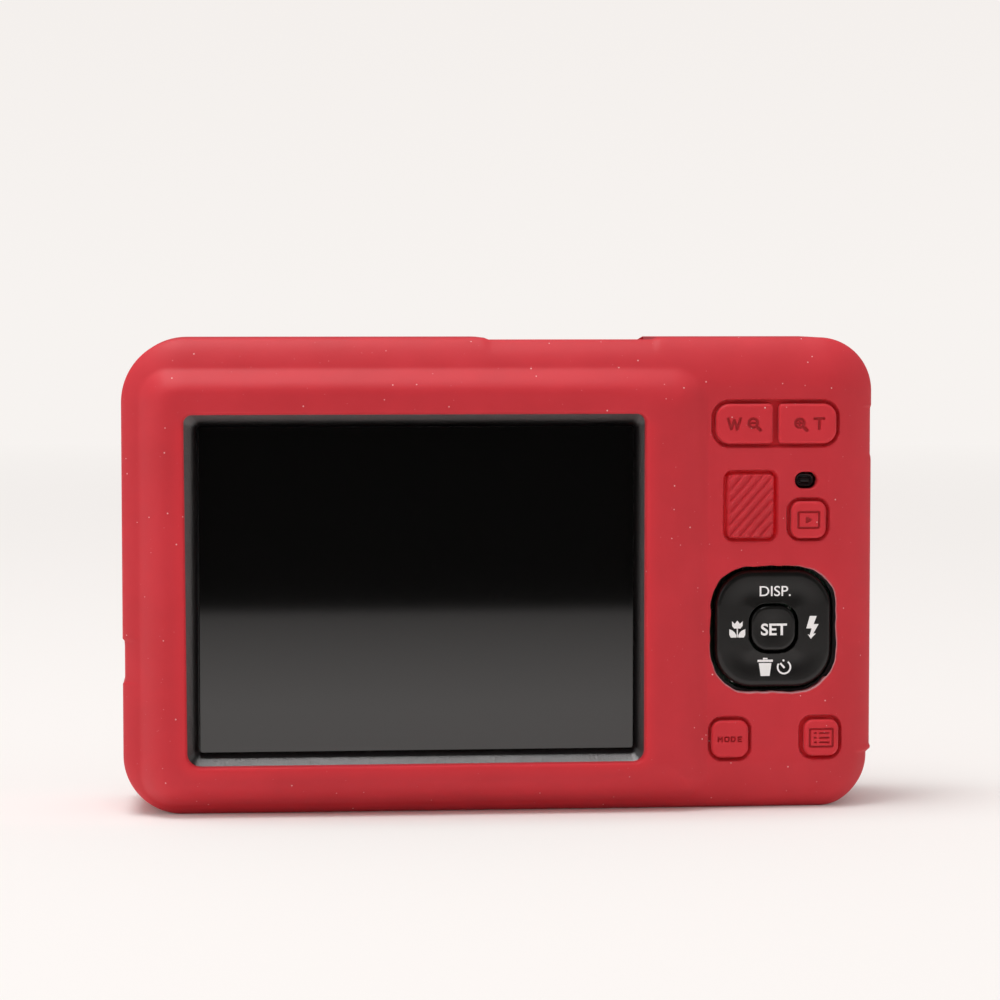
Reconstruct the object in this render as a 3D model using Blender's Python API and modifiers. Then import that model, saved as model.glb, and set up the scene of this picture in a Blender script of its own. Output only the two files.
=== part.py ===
"""A pocket digital camera in a silicone sleeve, seen from behind with its screen towards -Y.

Units are metres, +Z up, +X to the right of someone who looks at the screen, +Y the way the lens looks.
The origin is under the middle of the sleeve, on the surface that it stands on.
"""

import math

import bmesh
import bpy
from mathutils import Matrix, Vector

MM = 0.001
GAP = 0.3 * MM  # clearance between pieces that rest on each other
REACH = 3 * MM  # how far a cutter runs past the wall it cuts

# Outer sizes of the sleeve and of the casing inside it.
HALF_WIDTH = 48.2 * MM
HEIGHT = 60.8 * MM
SLEEVE_BACK, SLEEVE_FRONT = -10.6 * MM, 10.4 * MM
SLEEVE_WALL, SLEEVE_FACE = 2.1 * MM, 1.6 * MM
SLEEVE_CORNERS = (8.2 * MM, 6.9 * MM, 6.7 * MM, 7.6 * MM)  # top left, top right, bottom right, bottom left
STEP = 1.8 * MM  # how far the screen side stands out behind the control side
CASE_HALF = HALF_WIDTH - SLEEVE_WALL - GAP
CASE_LOW, CASE_TOP = SLEEVE_WALL + GAP, HEIGHT - SLEEVE_WALL - GAP
CASE_BACK = SLEEVE_BACK + SLEEVE_FACE + GAP
CASE_FRONT = SLEEVE_FRONT - SLEEVE_FACE - GAP
CASE_WALL = 1.3 * MM

# The screen side: the raised step of the casing, then the bezel, the window and the display.
STEP_X, STEP_Z = (-43.6 * MM, 24.4 * MM), (3.6 * MM, 55.2 * MM)
SLEEVE_STEP_X, SLEEVE_STEP_Z = (-45.9 * MM, 27.0 * MM), (1.2 * MM, 56.7 * MM)
CUTOUT_X, CUTOUT_Z = (-40.2 * MM, 18.0 * MM), (6.5 * MM, 51.2 * MM)
GLASS_X, GLASS_Z = (-38.5 * MM, 17.0 * MM), (8.1 * MM, 49.6 * MM)
BEZEL_X, BEZEL_Z = (-41.2 * MM, 19.0 * MM), (5.6 * MM, 52.2 * MM)

# Keys: centre x, centre z, width and height of each sleeve cap.
KEYS = {
    "wide": (31.15 * MM, 49.8 * MM, 7.35 * MM, 5.1 * MM),
    "tele": (39.3 * MM, 49.8 * MM, 7.5 * MM, 5.1 * MM),
    "play": (39.5 * MM, 37.45 * MM, 4.5 * MM, 4.75 * MM),
    "mode": (29.42 * MM, 9.25 * MM, 4.8 * MM, 4.75 * MM),
    "menu": (41.3 * MM, 9.3 * MM, 4.5 * MM, 4.65 * MM),
}
KEY_GROOVE = 0.5 * MM
KEY_WEB = SLEEVE_BACK + 1.2 * MM
KEY_PROUD = 0.3 * MM
THUMB_REST = (32.0 * MM, 39.3 * MM, 6.0 * MM, 8.2 * MM)
BUTTON_FACE = CASE_BACK - 0.2 * MM
ROCKER_FACE = CASE_BACK - 0.05 * MM  # set lower, so that it clears the sleeve when it tilts
PAD = (35.1 * MM, 23.4 * MM, 15.1 * MM, 15.1 * MM)
SET_KEY = (35.1 * MM, 23.45 * MM, 5.8 * MM, 5.8 * MM)
LIGHT = (39.2 * MM, 42.5 * MM)

# The lens, about an axis along Y.
LENS_X, LENS_Z = -14 * MM, 29.5 * MM
TOOTH_MODULE = 0.5 * MM
RING_TEETH, GEAR_TEETH = 70, 20
GEAR_DIRECTION = math.radians(-60)
GEAR_DISTANCE = TOOTH_MODULE * (RING_TEETH + GEAR_TEETH) / 2
GEAR_X = LENS_X + GEAR_DISTANCE * math.cos(GEAR_DIRECTION)
GEAR_Z = LENS_Z + GEAR_DISTANCE * math.sin(GEAR_DIRECTION)
GEAR_Y = (3.4 * MM, 5.4 * MM)
BLADE_PIVOT = 9.6 * MM
BLADE_OPENING = math.radians(30)

# Battery, card and the door below them.
BATTERY_X, BATTERY_Y, BATTERY_Z = (8 * MM, 38 * MM), (-0.3 * MM, 5.3 * MM), (6 * MM, 44 * MM)
CARD_X, CARD_Y, CARD_Z = (12 * MM, 36 * MM), (-3.9 * MM, -1.8 * MM), (6 * MM, 38 * MM)
DOOR_X, DOOR_Y = (6.9 * MM, 41.4 * MM), 6.0 * MM
HINGE_X, HINGE_Z = 40.4 * MM, 3.4 * MM
TRIPOD_X = -16 * MM

SHUTTER_X, POWER_X = 13.5 * MM, 2.5 * MM
PORT_Z = 19.6 * MM
STRAP_Z = 49.4 * MM


# ---------------------------------------------------------------- tools


def new_collection(name):
    made = bpy.data.collections.new(name)
    bpy.context.scene.collection.children.link(made)
    return made


def clear_scene():
    for old in list(bpy.data.objects):
        bpy.data.objects.remove(old)


def material(name, colour, roughness, metallic=0.0, alpha=1.0):
    made = bpy.data.materials.new(name)
    made.use_nodes = True
    shader = made.node_tree.nodes["Principled BSDF"]
    shader.inputs["Base Color"].default_value = (*colour, 1.0)
    shader.inputs["Roughness"].default_value = roughness
    shader.inputs["Metallic"].default_value = metallic
    shader.inputs["Alpha"].default_value = alpha
    return made


def block(low, high):
    """A plain box between two corners."""
    mesh = bmesh.new()
    bmesh.ops.create_cube(mesh, size=1.0)
    low, high = Vector(low), Vector(high)
    size = high - low
    bmesh.ops.scale(mesh, vec=size, verts=mesh.verts)
    bmesh.ops.translate(mesh, vec=(low + high) / 2, verts=mesh.verts)
    return mesh


def round_edges(mesh, edges, radius, segments):
    bmesh.ops.bevel(
        mesh,
        geom=edges,
        offset=radius,
        offset_type="OFFSET",
        segments=segments,
        profile=0.5,
        affect="EDGES",
    )


def slab(x, y, z, corners, back=0.0, front=0.0, segments=5, rim_segments=3):
    """A box whose edges along Y have the radii in corners, and whose back and front rims are rounded."""
    mesh = block((x[0], y[0], z[0]), (x[1], y[1], z[1]))
    if not isinstance(corners, tuple):
        corners = (corners,) * 4
    places = ((x[0], z[1]), (x[1], z[1]), (x[1], z[0]), (x[0], z[0]))
    for (px, pz), radius in zip(places, corners):
        for edge in mesh.edges:
            ends = [v.co for v in edge.verts]
            if all(math.hypot(c.x - px, c.z - pz) < 1e-6 for c in ends):
                round_edges(mesh, [edge], radius, segments)
                break
    for place, radius in ((y[0], back), (y[1], front)):
        if radius:
            rim = [e for e in mesh.edges if all(abs(v.co.y - place) < 1e-7 for v in e.verts)]
            round_edges(mesh, rim, radius, rim_segments)
    return mesh


def step_block(x, y, z, corner, taper):
    """The raised step behind the screen: a slab whose back face is smaller than its foot."""
    mesh = slab(x, y, z, corner)
    middle_x, middle_z = (x[0] + x[1]) / 2, (z[0] + z[1]) / 2
    share_x = 1 - 2 * taper / (x[1] - x[0])
    share_z = 1 - 2 * taper / (z[1] - z[0])
    for vert in mesh.verts:
        if abs(vert.co.y - y[0]) < 1e-7:
            vert.co.x = middle_x + (vert.co.x - middle_x) * share_x
            vert.co.z = middle_z + (vert.co.z - middle_z) * share_z
    return mesh


def bar(centre, radius, ends, axis="Y", sides=32, turn=0.0):
    """A round bar along an axis: centre holds its other two coordinates, ends where it starts and stops."""
    mesh = bmesh.new()
    depth = ends[1] - ends[0]
    bmesh.ops.create_cone(
        mesh, cap_ends=True, cap_tris=False, segments=sides, radius1=radius, radius2=radius, depth=depth
    )
    bmesh.ops.rotate(mesh, verts=mesh.verts, matrix=Matrix.Rotation(turn, 3, "Z"))
    middle = (ends[0] + ends[1]) / 2
    if axis == "X":
        spin, place = Matrix.Rotation(math.pi / 2, 3, "Y"), (middle, centre[0], centre[1])
    elif axis == "Y":
        spin, place = Matrix.Rotation(-math.pi / 2, 3, "X"), (centre[0], middle, centre[1])
    else:
        spin, place = Matrix.Identity(3), (centre[0], centre[1], middle)
    bmesh.ops.rotate(mesh, verts=mesh.verts, matrix=spin)
    bmesh.ops.translate(mesh, vec=place, verts=mesh.verts)
    return mesh


def extruded(outline, y):
    """A flat outline of (x, z) points, given a thickness from y[0] to y[1]."""
    mesh = bmesh.new()
    face = mesh.faces.new([mesh.verts.new((px, y[0], pz)) for px, pz in outline])
    grown = bmesh.ops.extrude_face_region(mesh, geom=[face])
    moved = [item for item in grown["geom"] if isinstance(item, bmesh.types.BMVert)]
    bmesh.ops.translate(mesh, vec=(0, y[1] - y[0], 0), verts=moved)
    bmesh.ops.recalc_face_normals(mesh, faces=mesh.faces)
    return mesh


def finish_mesh(name, mesh, origin):
    """The bmesh as a mesh, with its points measured from the object's origin."""
    bmesh.ops.translate(mesh, vec=-Vector(origin), verts=mesh.verts)
    data = bpy.data.meshes.new(name)
    mesh.to_mesh(data)
    mesh.free()
    data.shade_smooth()
    data.set_sharp_from_angle(angle=math.radians(35))
    return data


def part(name, mesh, look, origin=(0, 0, 0)):
    made = bpy.data.objects.new(name, finish_mesh(name, mesh, origin))
    made.location = origin
    made.data.materials.append(look)
    PARTS.objects.link(made)
    return made


def change(target, mesh, operation):
    """Cuts the mesh from the target or joins it on, with a Boolean modifier, and returns the tool."""
    name = f"{target.name}_{operation.lower()}_{len(target.modifiers)}"
    tool = bpy.data.objects.new(name, finish_mesh(name, mesh, (0, 0, 0)))
    tool.hide_render = True
    tool.display_type = "WIRE"
    CUTTERS.objects.link(tool)
    modifier = target.modifiers.new(operation.title(), "BOOLEAN")
    modifier.operation = operation
    modifier.object = tool
    return tool


def cut(target, *meshes):
    for mesh in meshes:
        change(target, mesh, "DIFFERENCE")


def join(target, *meshes):
    for mesh in meshes:
        change(target, mesh, "UNION")


def turned(name, profile, look, x=LENS_X, z=LENS_Z, steps=48):
    """A turned piece about an axis along Y: its profile is (radius, y) points in millimetres.

    A closed profile is a ring. One that starts and ends on the axis is a solid of revolution.
    """
    area = sum(a[0] * b[1] - b[0] * a[1] for a, b in zip(profile, profile[1:] + profile[:1]))
    points = profile if area < 0 else profile[::-1]
    solid = any(radius == 0 for radius, _ in profile)
    if solid:
        start = next(i for i, p in enumerate(points) if p[0] == 0 and points[i - 1][0] == 0)
        points = points[start:] + points[:start]
    data = bpy.data.meshes.new(name)
    mesh = bmesh.new()
    verts = [mesh.verts.new((radius * MM, 0, y * MM)) for radius, y in points]
    for a, b in zip(verts, verts[1:]):
        mesh.edges.new((a, b))
    if not solid:
        mesh.edges.new((verts[-1], verts[0]))
    mesh.to_mesh(data)
    mesh.free()
    made = bpy.data.objects.new(name, data)
    made.location = (x, 0, z)
    made.rotation_euler = (-math.pi / 2, 0, 0)
    data.materials.append(look)
    PARTS.objects.link(made)
    screw = made.modifiers.new("Turn", "SCREW")
    screw.axis = "Z"
    screw.steps = screw.render_steps = steps
    screw.use_merge_vertices = True
    screw.merge_threshold = 1e-6
    screw.use_smooth_shade = True
    return made


def around(centre, width, height, y, corner, grow=0.0, **rims):
    """A slab centred at (x, z), grown on all four sides."""
    half_w, half_h = width / 2 + grow, height / 2 + grow
    return slab(
        (centre[0] - half_w, centre[0] + half_w),
        y,
        (centre[1] - half_h, centre[1] + half_h),
        corner,
        **rims,
    )


def pair(limits, grow):
    return (limits[0] - grow, limits[1] + grow)


# ---------------------------------------------------------------- the sleeve


def silicone_sleeve():
    look = material("red_silicone", (0.51, 0.03, 0.038), 0.62)
    sleeve = part(
        "silicone_sleeve",
        slab(
            (-HALF_WIDTH, HALF_WIDTH), (SLEEVE_BACK, SLEEVE_FRONT), (0, HEIGHT), SLEEVE_CORNERS,
            back=3.6 * MM, front=3.2 * MM, segments=7, rim_segments=5,
        ),
        look,
    )
    step_y = (SLEEVE_BACK - STEP, -7 * MM)
    join(sleeve, step_block(SLEEVE_STEP_X, step_y, SLEEVE_STEP_Z, 4.2 * MM, 3.0 * MM))
    inner_half = HALF_WIDTH - SLEEVE_WALL
    inner_y = (SLEEVE_BACK + SLEEVE_FACE, SLEEVE_FRONT - SLEEVE_FACE)
    inner_corners = tuple(radius - SLEEVE_WALL for radius in SLEEVE_CORNERS)
    cut(
        sleeve,
        slab(
            (-inner_half, inner_half), inner_y, (SLEEVE_WALL, HEIGHT - SLEEVE_WALL), inner_corners,
            back=1.8 * MM, front=1.8 * MM,
        ),
        step_block(
            pair(STEP_X, GAP),
            (SLEEVE_BACK - STEP + SLEEVE_FACE, -7 * MM),
            pair(STEP_Z, GAP),
            3 * MM,
            1.8 * MM,
        ),
        slab(CUTOUT_X, (-15 * MM, -8 * MM), CUTOUT_Z, 1.3 * MM),
    )
    through = (SLEEVE_BACK - REACH, inner_y[0] + REACH)
    groove = (SLEEVE_BACK - REACH, KEY_WEB)
    wide, tele = KEYS["wide"], KEYS["tele"]
    rocker_groove = slab(
        (wide[0] - wide[2] / 2 - KEY_GROOVE, tele[0] + tele[2] / 2 + KEY_GROOVE),
        groove,
        pair((wide[1] - wide[3] / 2, wide[1] + wide[3] / 2), KEY_GROOVE),
        2.2 * MM,
    )
    cut(sleeve, rocker_groove)
    for name in ("play", "mode", "menu"):
        x, z, width, height = KEYS[name]
        cut(sleeve, around((x, z), width, height, groove, 1.6 * MM, KEY_GROOVE))
    for x, z, width, height in KEYS.values():
        cut(sleeve, around((x, z), 0.62 * width, 0.62 * height, through, 0.6 * MM, segments=2))
    x, z, width, height = THUMB_REST
    rest_groove = around((x, z), width, height, groove, 1.0 * MM, KEY_GROOVE)
    cut(sleeve, rest_groove)
    join(sleeve, around((x, z), width, height, (SLEEVE_BACK - 0.1 * MM, KEY_WEB + 0.2 * MM), 0.7 * MM))
    x, z, width, height = PAD
    cut(
        sleeve,
        around((x, z), width, height, through, 5.4 * MM, 0.7 * MM),
        around(LIGHT, 2.9 * MM, 2.1 * MM, through, 1.0 * MM, segments=4),
        slab((-2.0 * MM, 20.3 * MM), (-6.6 * MM, 6.6 * MM), (56 * MM, 64 * MM), 0.5 * MM, segments=1),
        bar((LENS_X, LENS_Z), 22.3 * MM, (7.5 * MM, 14 * MM), sides=56),
        slab((14.2 * MM, 38.2 * MM), (7.5 * MM, 14 * MM), (46.4 * MM, 55.8 * MM), 3 * MM),
        block((-52 * MM, -5.6 * MM, 16.7 * MM), (-44.5 * MM, 6.2 * MM, 22.4 * MM)),
        block((44.5 * MM, -4.9 * MM, 45.5 * MM), (52 * MM, 4.9 * MM, 53.2 * MM)),
        block((6.1 * MM, -6.8 * MM, -2 * MM), (42.4 * MM, 6.8 * MM, 4 * MM)),
        bar((TRIPOD_X, 0), 6.2 * MM, (-2 * MM, 4 * MM), axis="Z", sides=40),
    )
    cap_y = (SLEEVE_BACK - KEY_PROUD, KEY_WEB - 0.5 * MM)
    for name, (x, z, width, height) in KEYS.items():
        cap = part(
            f"sleeve_key_{name}",
            around((x, z), width, height, cap_y, 1.1 * MM, back=0.35 * MM, segments=3, rim_segments=2),
            look,
        )
        pressed_face = ROCKER_FACE if name in ("wide", "tele") else BUTTON_FACE
        stem_y = (cap_y[1] - 0.4 * MM, pressed_face - GAP)
        join(cap, around((x, z), 0.62 * width, 0.62 * height, stem_y, 0.5 * MM, -0.4 * MM, segments=2))


# ---------------------------------------------------------------- the casing


def casing():
    look = material("black_casing", (0.028, 0.028, 0.03), 0.5)
    corners = tuple(radius - SLEEVE_WALL - GAP for radius in SLEEVE_CORNERS)
    inner_corners = tuple(radius - CASE_WALL for radius in corners)
    inner_half = CASE_HALF - CASE_WALL
    inner_z = (CASE_LOW + CASE_WALL, CASE_TOP - CASE_WALL)
    rear = part(
        "rear_cover",
        slab((-CASE_HALF, CASE_HALF), (CASE_BACK, -GAP / 2), (CASE_LOW, CASE_TOP), corners, back=1.6 * MM),
        look,
    )
    join(rear, step_block(STEP_X, (CASE_BACK - STEP, -7 * MM), STEP_Z, 3 * MM, 1.8 * MM))
    cut(
        rear,
        slab((-inner_half, inner_half), (CASE_BACK + CASE_WALL, REACH), inner_z, inner_corners, segments=4),
        slab((-41.6 * MM, 22 * MM), (CASE_BACK - STEP + CASE_WALL, -7 * MM), (5.6 * MM, 53.2 * MM), 1 * MM),
        slab(pair(BEZEL_X, GAP), (-14 * MM, -8 * MM), pair(BEZEL_Z, GAP), 1.8 * MM),
    )
    front = part(
        "front_cover",
        slab((-CASE_HALF, CASE_HALF), (GAP / 2, CASE_FRONT), (CASE_LOW, CASE_TOP), corners, front=1.6 * MM),
        look,
    )
    cut(
        front,
        slab(
            (-inner_half, inner_half),
            (-REACH, CASE_FRONT - CASE_WALL),
            inner_z,
            inner_corners,
            segments=4,
        ),
        bar((LENS_X, LENS_Z), 17.2 * MM, (5 * MM, 12 * MM), sides=48),
        slab((23.2 * MM, 35.3 * MM), (5 * MM, 12 * MM), (48.2 * MM, 54.3 * MM), 1 * MM, segments=2),
        bar((17.5 * MM, 51.2 * MM), 2.3 * MM, (5 * MM, 12 * MM), sides=20),
    )
    for shell in (rear, front):
        cut(
            shell,
            block((-5.5 * MM, -6 * MM, 55 * MM), (24.5 * MM, 6 * MM, 62 * MM)),
            block((DOOR_X[0] - GAP, -DOOR_Y - GAP, -2 * MM), (DOOR_X[1] + 0.4 * MM, DOOR_Y + GAP, 4.2 * MM)),
            block((-50 * MM, -4.0 * MM, PORT_Z - 2.4 * MM), (-42 * MM, 4.6 * MM, PORT_Z + 2.4 * MM)),
            block((41.2 * MM, -4.3 * MM, STRAP_Z - 4.2 * MM), (50 * MM, 4.3 * MM, STRAP_Z + 4.2 * MM)),
            bar((TRIPOD_X, 0), 5.1 * MM, (-2 * MM, 6 * MM), axis="Z", sides=32),
        )
    cut_key_holes(rear)
    top_look = material("top_plate_grey", (0.05, 0.05, 0.055), 0.35)
    plate = block((-5.2 * MM, -5.7 * MM, 57.1 * MM), (24.2 * MM, 5.7 * MM, CASE_TOP))
    top = part("top_plate", plate, top_look)
    cut(
        top,
        bar((SHUTTER_X, 0), 4.95 * MM, (50 * MM, 62 * MM), axis="Z", sides=32),
        bar((POWER_X, 0), 3.4 * MM, (50 * MM, 62 * MM), axis="Z", sides=24),
    )
    chassis = part(
        "chassis",
        slab((-44 * MM, 20.8 * MM), (-6.5 * MM, -5.9 * MM), (4.2 * MM, 56.6 * MM), 3 * MM, segments=2),
        material("pressed_steel", (0.55, 0.55, 0.56), 0.35, 1.0),
    )
    for x in (-36 * MM, 8 * MM):
        hole_x = (x - 4 * MM, x + 4 * MM)
        cut(chassis, slab(hole_x, (-9 * MM, -3 * MM), (34 * MM, 48 * MM), 1.5 * MM, segments=2))


def cut_key_holes(rear):
    hole = (CASE_BACK - REACH, CASE_BACK + CASE_WALL + REACH)
    wide, tele = KEYS["wide"], KEYS["tele"]
    middle = (wide[0] + tele[0]) / 2
    cut(rear, around((middle, wide[1]), 14.2 * MM, 3.6 * MM, hole, 1 * MM, 0.35 * MM, segments=2))
    for name in ("play", "mode", "menu"):
        x, z, width, height = KEYS[name]
        cut(rear, around((x, z), width, height, hole, 0.8 * MM, -0.15 * MM, segments=2))
    x, z, width, height = PAD
    cut(
        rear,
        around((x, z), width, height, hole, 5.2 * MM, 0.45 * MM),
        around(LIGHT, 2.4 * MM, 1.7 * MM, hole, 0.9 * MM, GAP, segments=3),
    )


def screws():
    look = material("screw_steel", (0.3, 0.3, 0.31), 0.3, 1.0)
    for name, x, y in (("base_screw_left", -36 * MM, 4 * MM), ("base_screw_right", -25 * MM, 4 * MM)):
        shank = bar((x, y), 1.4 * MM, (CASE_LOW - 0.15 * MM, 2.9 * MM), axis="Z", sides=20)
        screw = part(name, shank, look)
        join(screw, bar((x, y), 0.7 * MM, (2.7 * MM, 6.6 * MM), axis="Z", sides=12))
        cut(screw, block((x - 2 * MM, y - 0.15 * MM, 0), (x + 2 * MM, y + 0.15 * MM, 2.55 * MM)))
        cut(
            PARTS.objects["front_cover"],
            bar((x, y), 1.7 * MM, (0, 3.2 * MM), axis="Z", sides=20),
            bar((x, y), 1.0 * MM, (0, 6 * MM), axis="Z", sides=12),
        )


# ---------------------------------------------------------------- the screen


def screen():
    bezel = part(
        "screen_bezel",
        slab(BEZEL_X, (CASE_BACK - STEP, -9.2 * MM), BEZEL_Z, 1.5 * MM),
        material("textured_bezel", (0.03, 0.03, 0.032), 0.55),
    )
    cut(bezel, slab(pair(GLASS_X, GAP), (-14 * MM, -8 * MM), pair(GLASS_Z, GAP), 0.6 * MM, segments=2))
    part(
        "screen_window",
        slab(GLASS_X, (-10.0 * MM, -9.2 * MM), GLASS_Z, 0.5 * MM, segments=2),
        material("black_window", (0.008, 0.008, 0.009), 0.06),
    )
    part(
        "display_panel",
        block((-40.5 * MM, -8.9 * MM, 6.6 * MM), (19.5 * MM, -7.7 * MM, 51.8 * MM)),
        material("display_glass", (0.02, 0.02, 0.025), 0.15),
    )


# ---------------------------------------------------------------- keys and buttons


def keys():
    look = material("key_plastic", (0.03, 0.03, 0.032), 0.4)
    flange = (-7.1 * MM, -6.7 * MM)
    wide, tele = KEYS["wide"], KEYS["tele"]
    middle = ((wide[0] + tele[0]) / 2, wide[1])
    rocker = part(
        "zoom_rocker",
        around(middle, 13.0 * MM, 3.6 * MM, (ROCKER_FACE, flange[1]), 0.8 * MM, segments=2),
        look,
        origin=(middle[0], flange[1], middle[1]),
    )
    join(rocker, around(middle, 6 * MM, 5.2 * MM, flange, 0.5 * MM, segments=1))
    for name, body in (("play", "playback_button"), ("mode", "mode_button"), ("menu", "menu_button")):
        x, z, width, height = KEYS[name]
        button = part(
            body,
            around((x, z), width, height, (BUTTON_FACE, flange[1]), 0.7 * MM, -0.45 * MM, segments=2),
            look,
            origin=(x, BUTTON_FACE, z),
        )
        join(button, around((x, z), width, height, flange, 0.6 * MM, 0.25 * MM, segments=1))
    control_pad(look)
    part(
        "status_light",
        around(LIGHT, 2.4 * MM, 1.7 * MM, (-9.3 * MM, -6.9 * MM), 0.8 * MM, segments=4, back=0.2 * MM),
        material("light_pipe", (0.02, 0.02, 0.022), 0.1),
    )


def control_pad(look):
    pad_look = material("pad_black", (0.03, 0.028, 0.027), 0.38)
    x, z, width, height = PAD
    pivot = (x, -7.5 * MM, z)
    pad = part(
        "control_pad",
        around((x, z), width, height, (-10.3 * MM, -7.9 * MM), 4.8 * MM, back=0.7 * MM),
        pad_look,
        origin=pivot,
    )
    set_x, set_z, set_w, set_h = SET_KEY
    cut(pad, around((set_x, set_z), set_w, set_h, (-14 * MM, -5 * MM), 2.4 * MM, 0.35 * MM))
    carrier = part(
        "pad_carrier",
        around((x, z), 9.6 * MM, 9.6 * MM, (-7.1 * MM, -6.8 * MM), 2 * MM, segments=3),
        material("carrier_plastic", (0.2, 0.2, 0.2), 0.5),
        origin=pivot,
    )
    cut(carrier, around((set_x, set_z), 6.4 * MM, 6.4 * MM, (-9 * MM, -5 * MM), 1.5 * MM, segments=3))
    part(
        "set_button",
        around((set_x, set_z), set_w, set_h, (-10.25 * MM, -6.6 * MM), 2.2 * MM, back=0.3 * MM),
        pad_look,
        origin=(set_x, -10.25 * MM, set_z),
    )


def top_buttons():
    metal = material("button_metal", (0.62, 0.62, 0.64), 0.28, 1.0)
    for name, x, radius, top in (
        ("shutter_button", SHUTTER_X, 4.6 * MM, 59.7 * MM),
        ("power_button", POWER_X, 3.0 * MM, 58.9 * MM),
    ):
        body = bar((x, 0), radius, (55.9 * MM, top), axis="Z", sides=32)
        button = part(name, body, metal, origin=(x, 0, top))
        rim = button.modifiers.new("Rim", "BEVEL")
        rim.width = 0.4 * MM
        rim.segments = 2
        join(
            button,
            bar((x, 0), radius + 0.9 * MM, (55.9 * MM, 56.6 * MM), axis="Z", sides=32),
            bar((x, 0), 0.9 * MM, (53.5 * MM, 56.2 * MM), axis="Z", sides=16),
        )
    part(
        "top_board",
        block((-4 * MM, -4 * MM, 51.6 * MM), (20.5 * MM, 2.8 * MM, 52.4 * MM)),
        PARTS.objects["main_board"].data.materials[0],
    )
    coil_spring("shutter_spring", SHUTTER_X, 0, (52.9 * MM, 55.4 * MM), 2.0 * MM, 0.22 * MM, 3.5)


def coil_spring(name, x, y, z, radius, wire, turns):
    """A helix along Z, with round wire."""
    steps = round(turns * 14)
    curve = bpy.data.curves.new(name, "CURVE")
    curve.dimensions = "3D"
    curve.bevel_depth = wire
    curve.bevel_resolution = 1
    curve.use_fill_caps = True
    line = curve.splines.new("POLY")
    line.points.add(steps)
    for index, point in enumerate(line.points):
        angle = index / steps * turns * 2 * math.pi
        height = z[0] + (z[1] - z[0]) * index / steps
        point.co = (radius * math.cos(angle), radius * math.sin(angle), height, 1)
    made = bpy.data.objects.new(name, curve)
    made.location = (x, y, 0)
    curve.materials.append(material("spring_steel", (0.6, 0.6, 0.62), 0.3, 1.0))
    PARTS.objects.link(made)


# ---------------------------------------------------------------- boards and electronics


def electronics():
    board = material("circuit_board", (0.02, 0.12, 0.05), 0.45)
    main = part(
        "main_board", block((21.5 * MM, -5.7 * MM, 5 * MM), (43.4 * MM, -4.9 * MM, 44.6 * MM)), board
    )
    join(main, block((21.5 * MM, -5.7 * MM, 44 * MM), (40.9 * MM, -4.9 * MM, 53 * MM)))
    part("sensor_board", block((-25 * MM, -5.5 * MM, 20 * MM), (-3 * MM, -4.8 * MM, 39 * MM)), board)
    part(
        "image_sensor",
        block(
            (LENS_X - 4.6 * MM, -4.5 * MM, LENS_Z - 3.8 * MM),
            (LENS_X + 4.6 * MM, -3.5 * MM, LENS_Z + 3.8 * MM),
        ),
        material("sensor_glass", (0.04, 0.05, 0.07), 0.1),
    )
    black = material("black_component", (0.03, 0.03, 0.035), 0.4)
    can = bar((-39.4 * MM, 1 * MM), 4 * MM, (24 * MM, 52 * MM), axis="Z", sides=28)
    part("flash_capacitor", can, black)
    part("speaker", bar((-39.4 * MM, 12.2 * MM), 4.2 * MM, (2.6 * MM, 5.4 * MM), sides=28), black)
    flash()


def flash():
    x, z = (23.5 * MM, 35 * MM), (48.5 * MM, 54 * MM)
    part(
        "flash_window",
        slab(x, (7.9 * MM, 8.7 * MM), z, 0.8 * MM, segments=2),
        material("frosted_window", (0.85, 0.86, 0.87), 0.25, alpha=0.6),
    )
    reflector = part(
        "flash_reflector",
        block((x[0], 3.4 * MM, z[0]), (x[1], 7.5 * MM, z[1])),
        material("bright_metal", (0.85, 0.85, 0.86), 0.1, 1.0),
    )
    middle = ((x[0] + x[1]) / 2, 7.9 * MM, (z[0] + z[1]) / 2)
    hollow = bar((middle[1], middle[2]), 2.45 * MM, (x[0] + 0.6 * MM, x[1] - 0.6 * MM), axis="X", sides=20)
    bmesh.ops.scale(
        hollow, vec=(1, 1.6, 1), verts=hollow.verts, space=Matrix.Translation(-Vector(middle))
    )
    cut(reflector, hollow)
    part(
        "focus_lamp_window",
        bar((17.5 * MM, 51.2 * MM), 2.0 * MM, (7.2 * MM, 8.7 * MM), sides=24),
        material("amber_window", (0.7, 0.25, 0.05), 0.15, alpha=0.7),
    )


# ---------------------------------------------------------------- the lens


def gear_outline(teeth, module, centre, first_tooth, sector=None):
    """A spur gear's outline with tapered teeth; outside the sector, if there is one, it stays at the root."""
    pitch = 2 * math.pi / teeth
    outer, root = module * (teeth / 2 + 0.8), module * (teeth / 2 - 1.2)
    outline = []
    for tooth in range(teeth):
        middle = first_tooth + tooth * pitch
        turned_by = (middle - sector[0] + math.pi) % (2 * math.pi) - math.pi if sector else 0
        toothed = sector is None or abs(turned_by) < sector[1]
        tooth_shape = ((-0.33, root), (-0.13, outer), (0.13, outer), (0.33, root))
        for share, radius in tooth_shape if toothed else ((0, root),):
            angle = middle + share * pitch
            outline.append((centre[0] + radius * math.cos(angle), centre[1] + radius * math.sin(angle)))
    return outline


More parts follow.
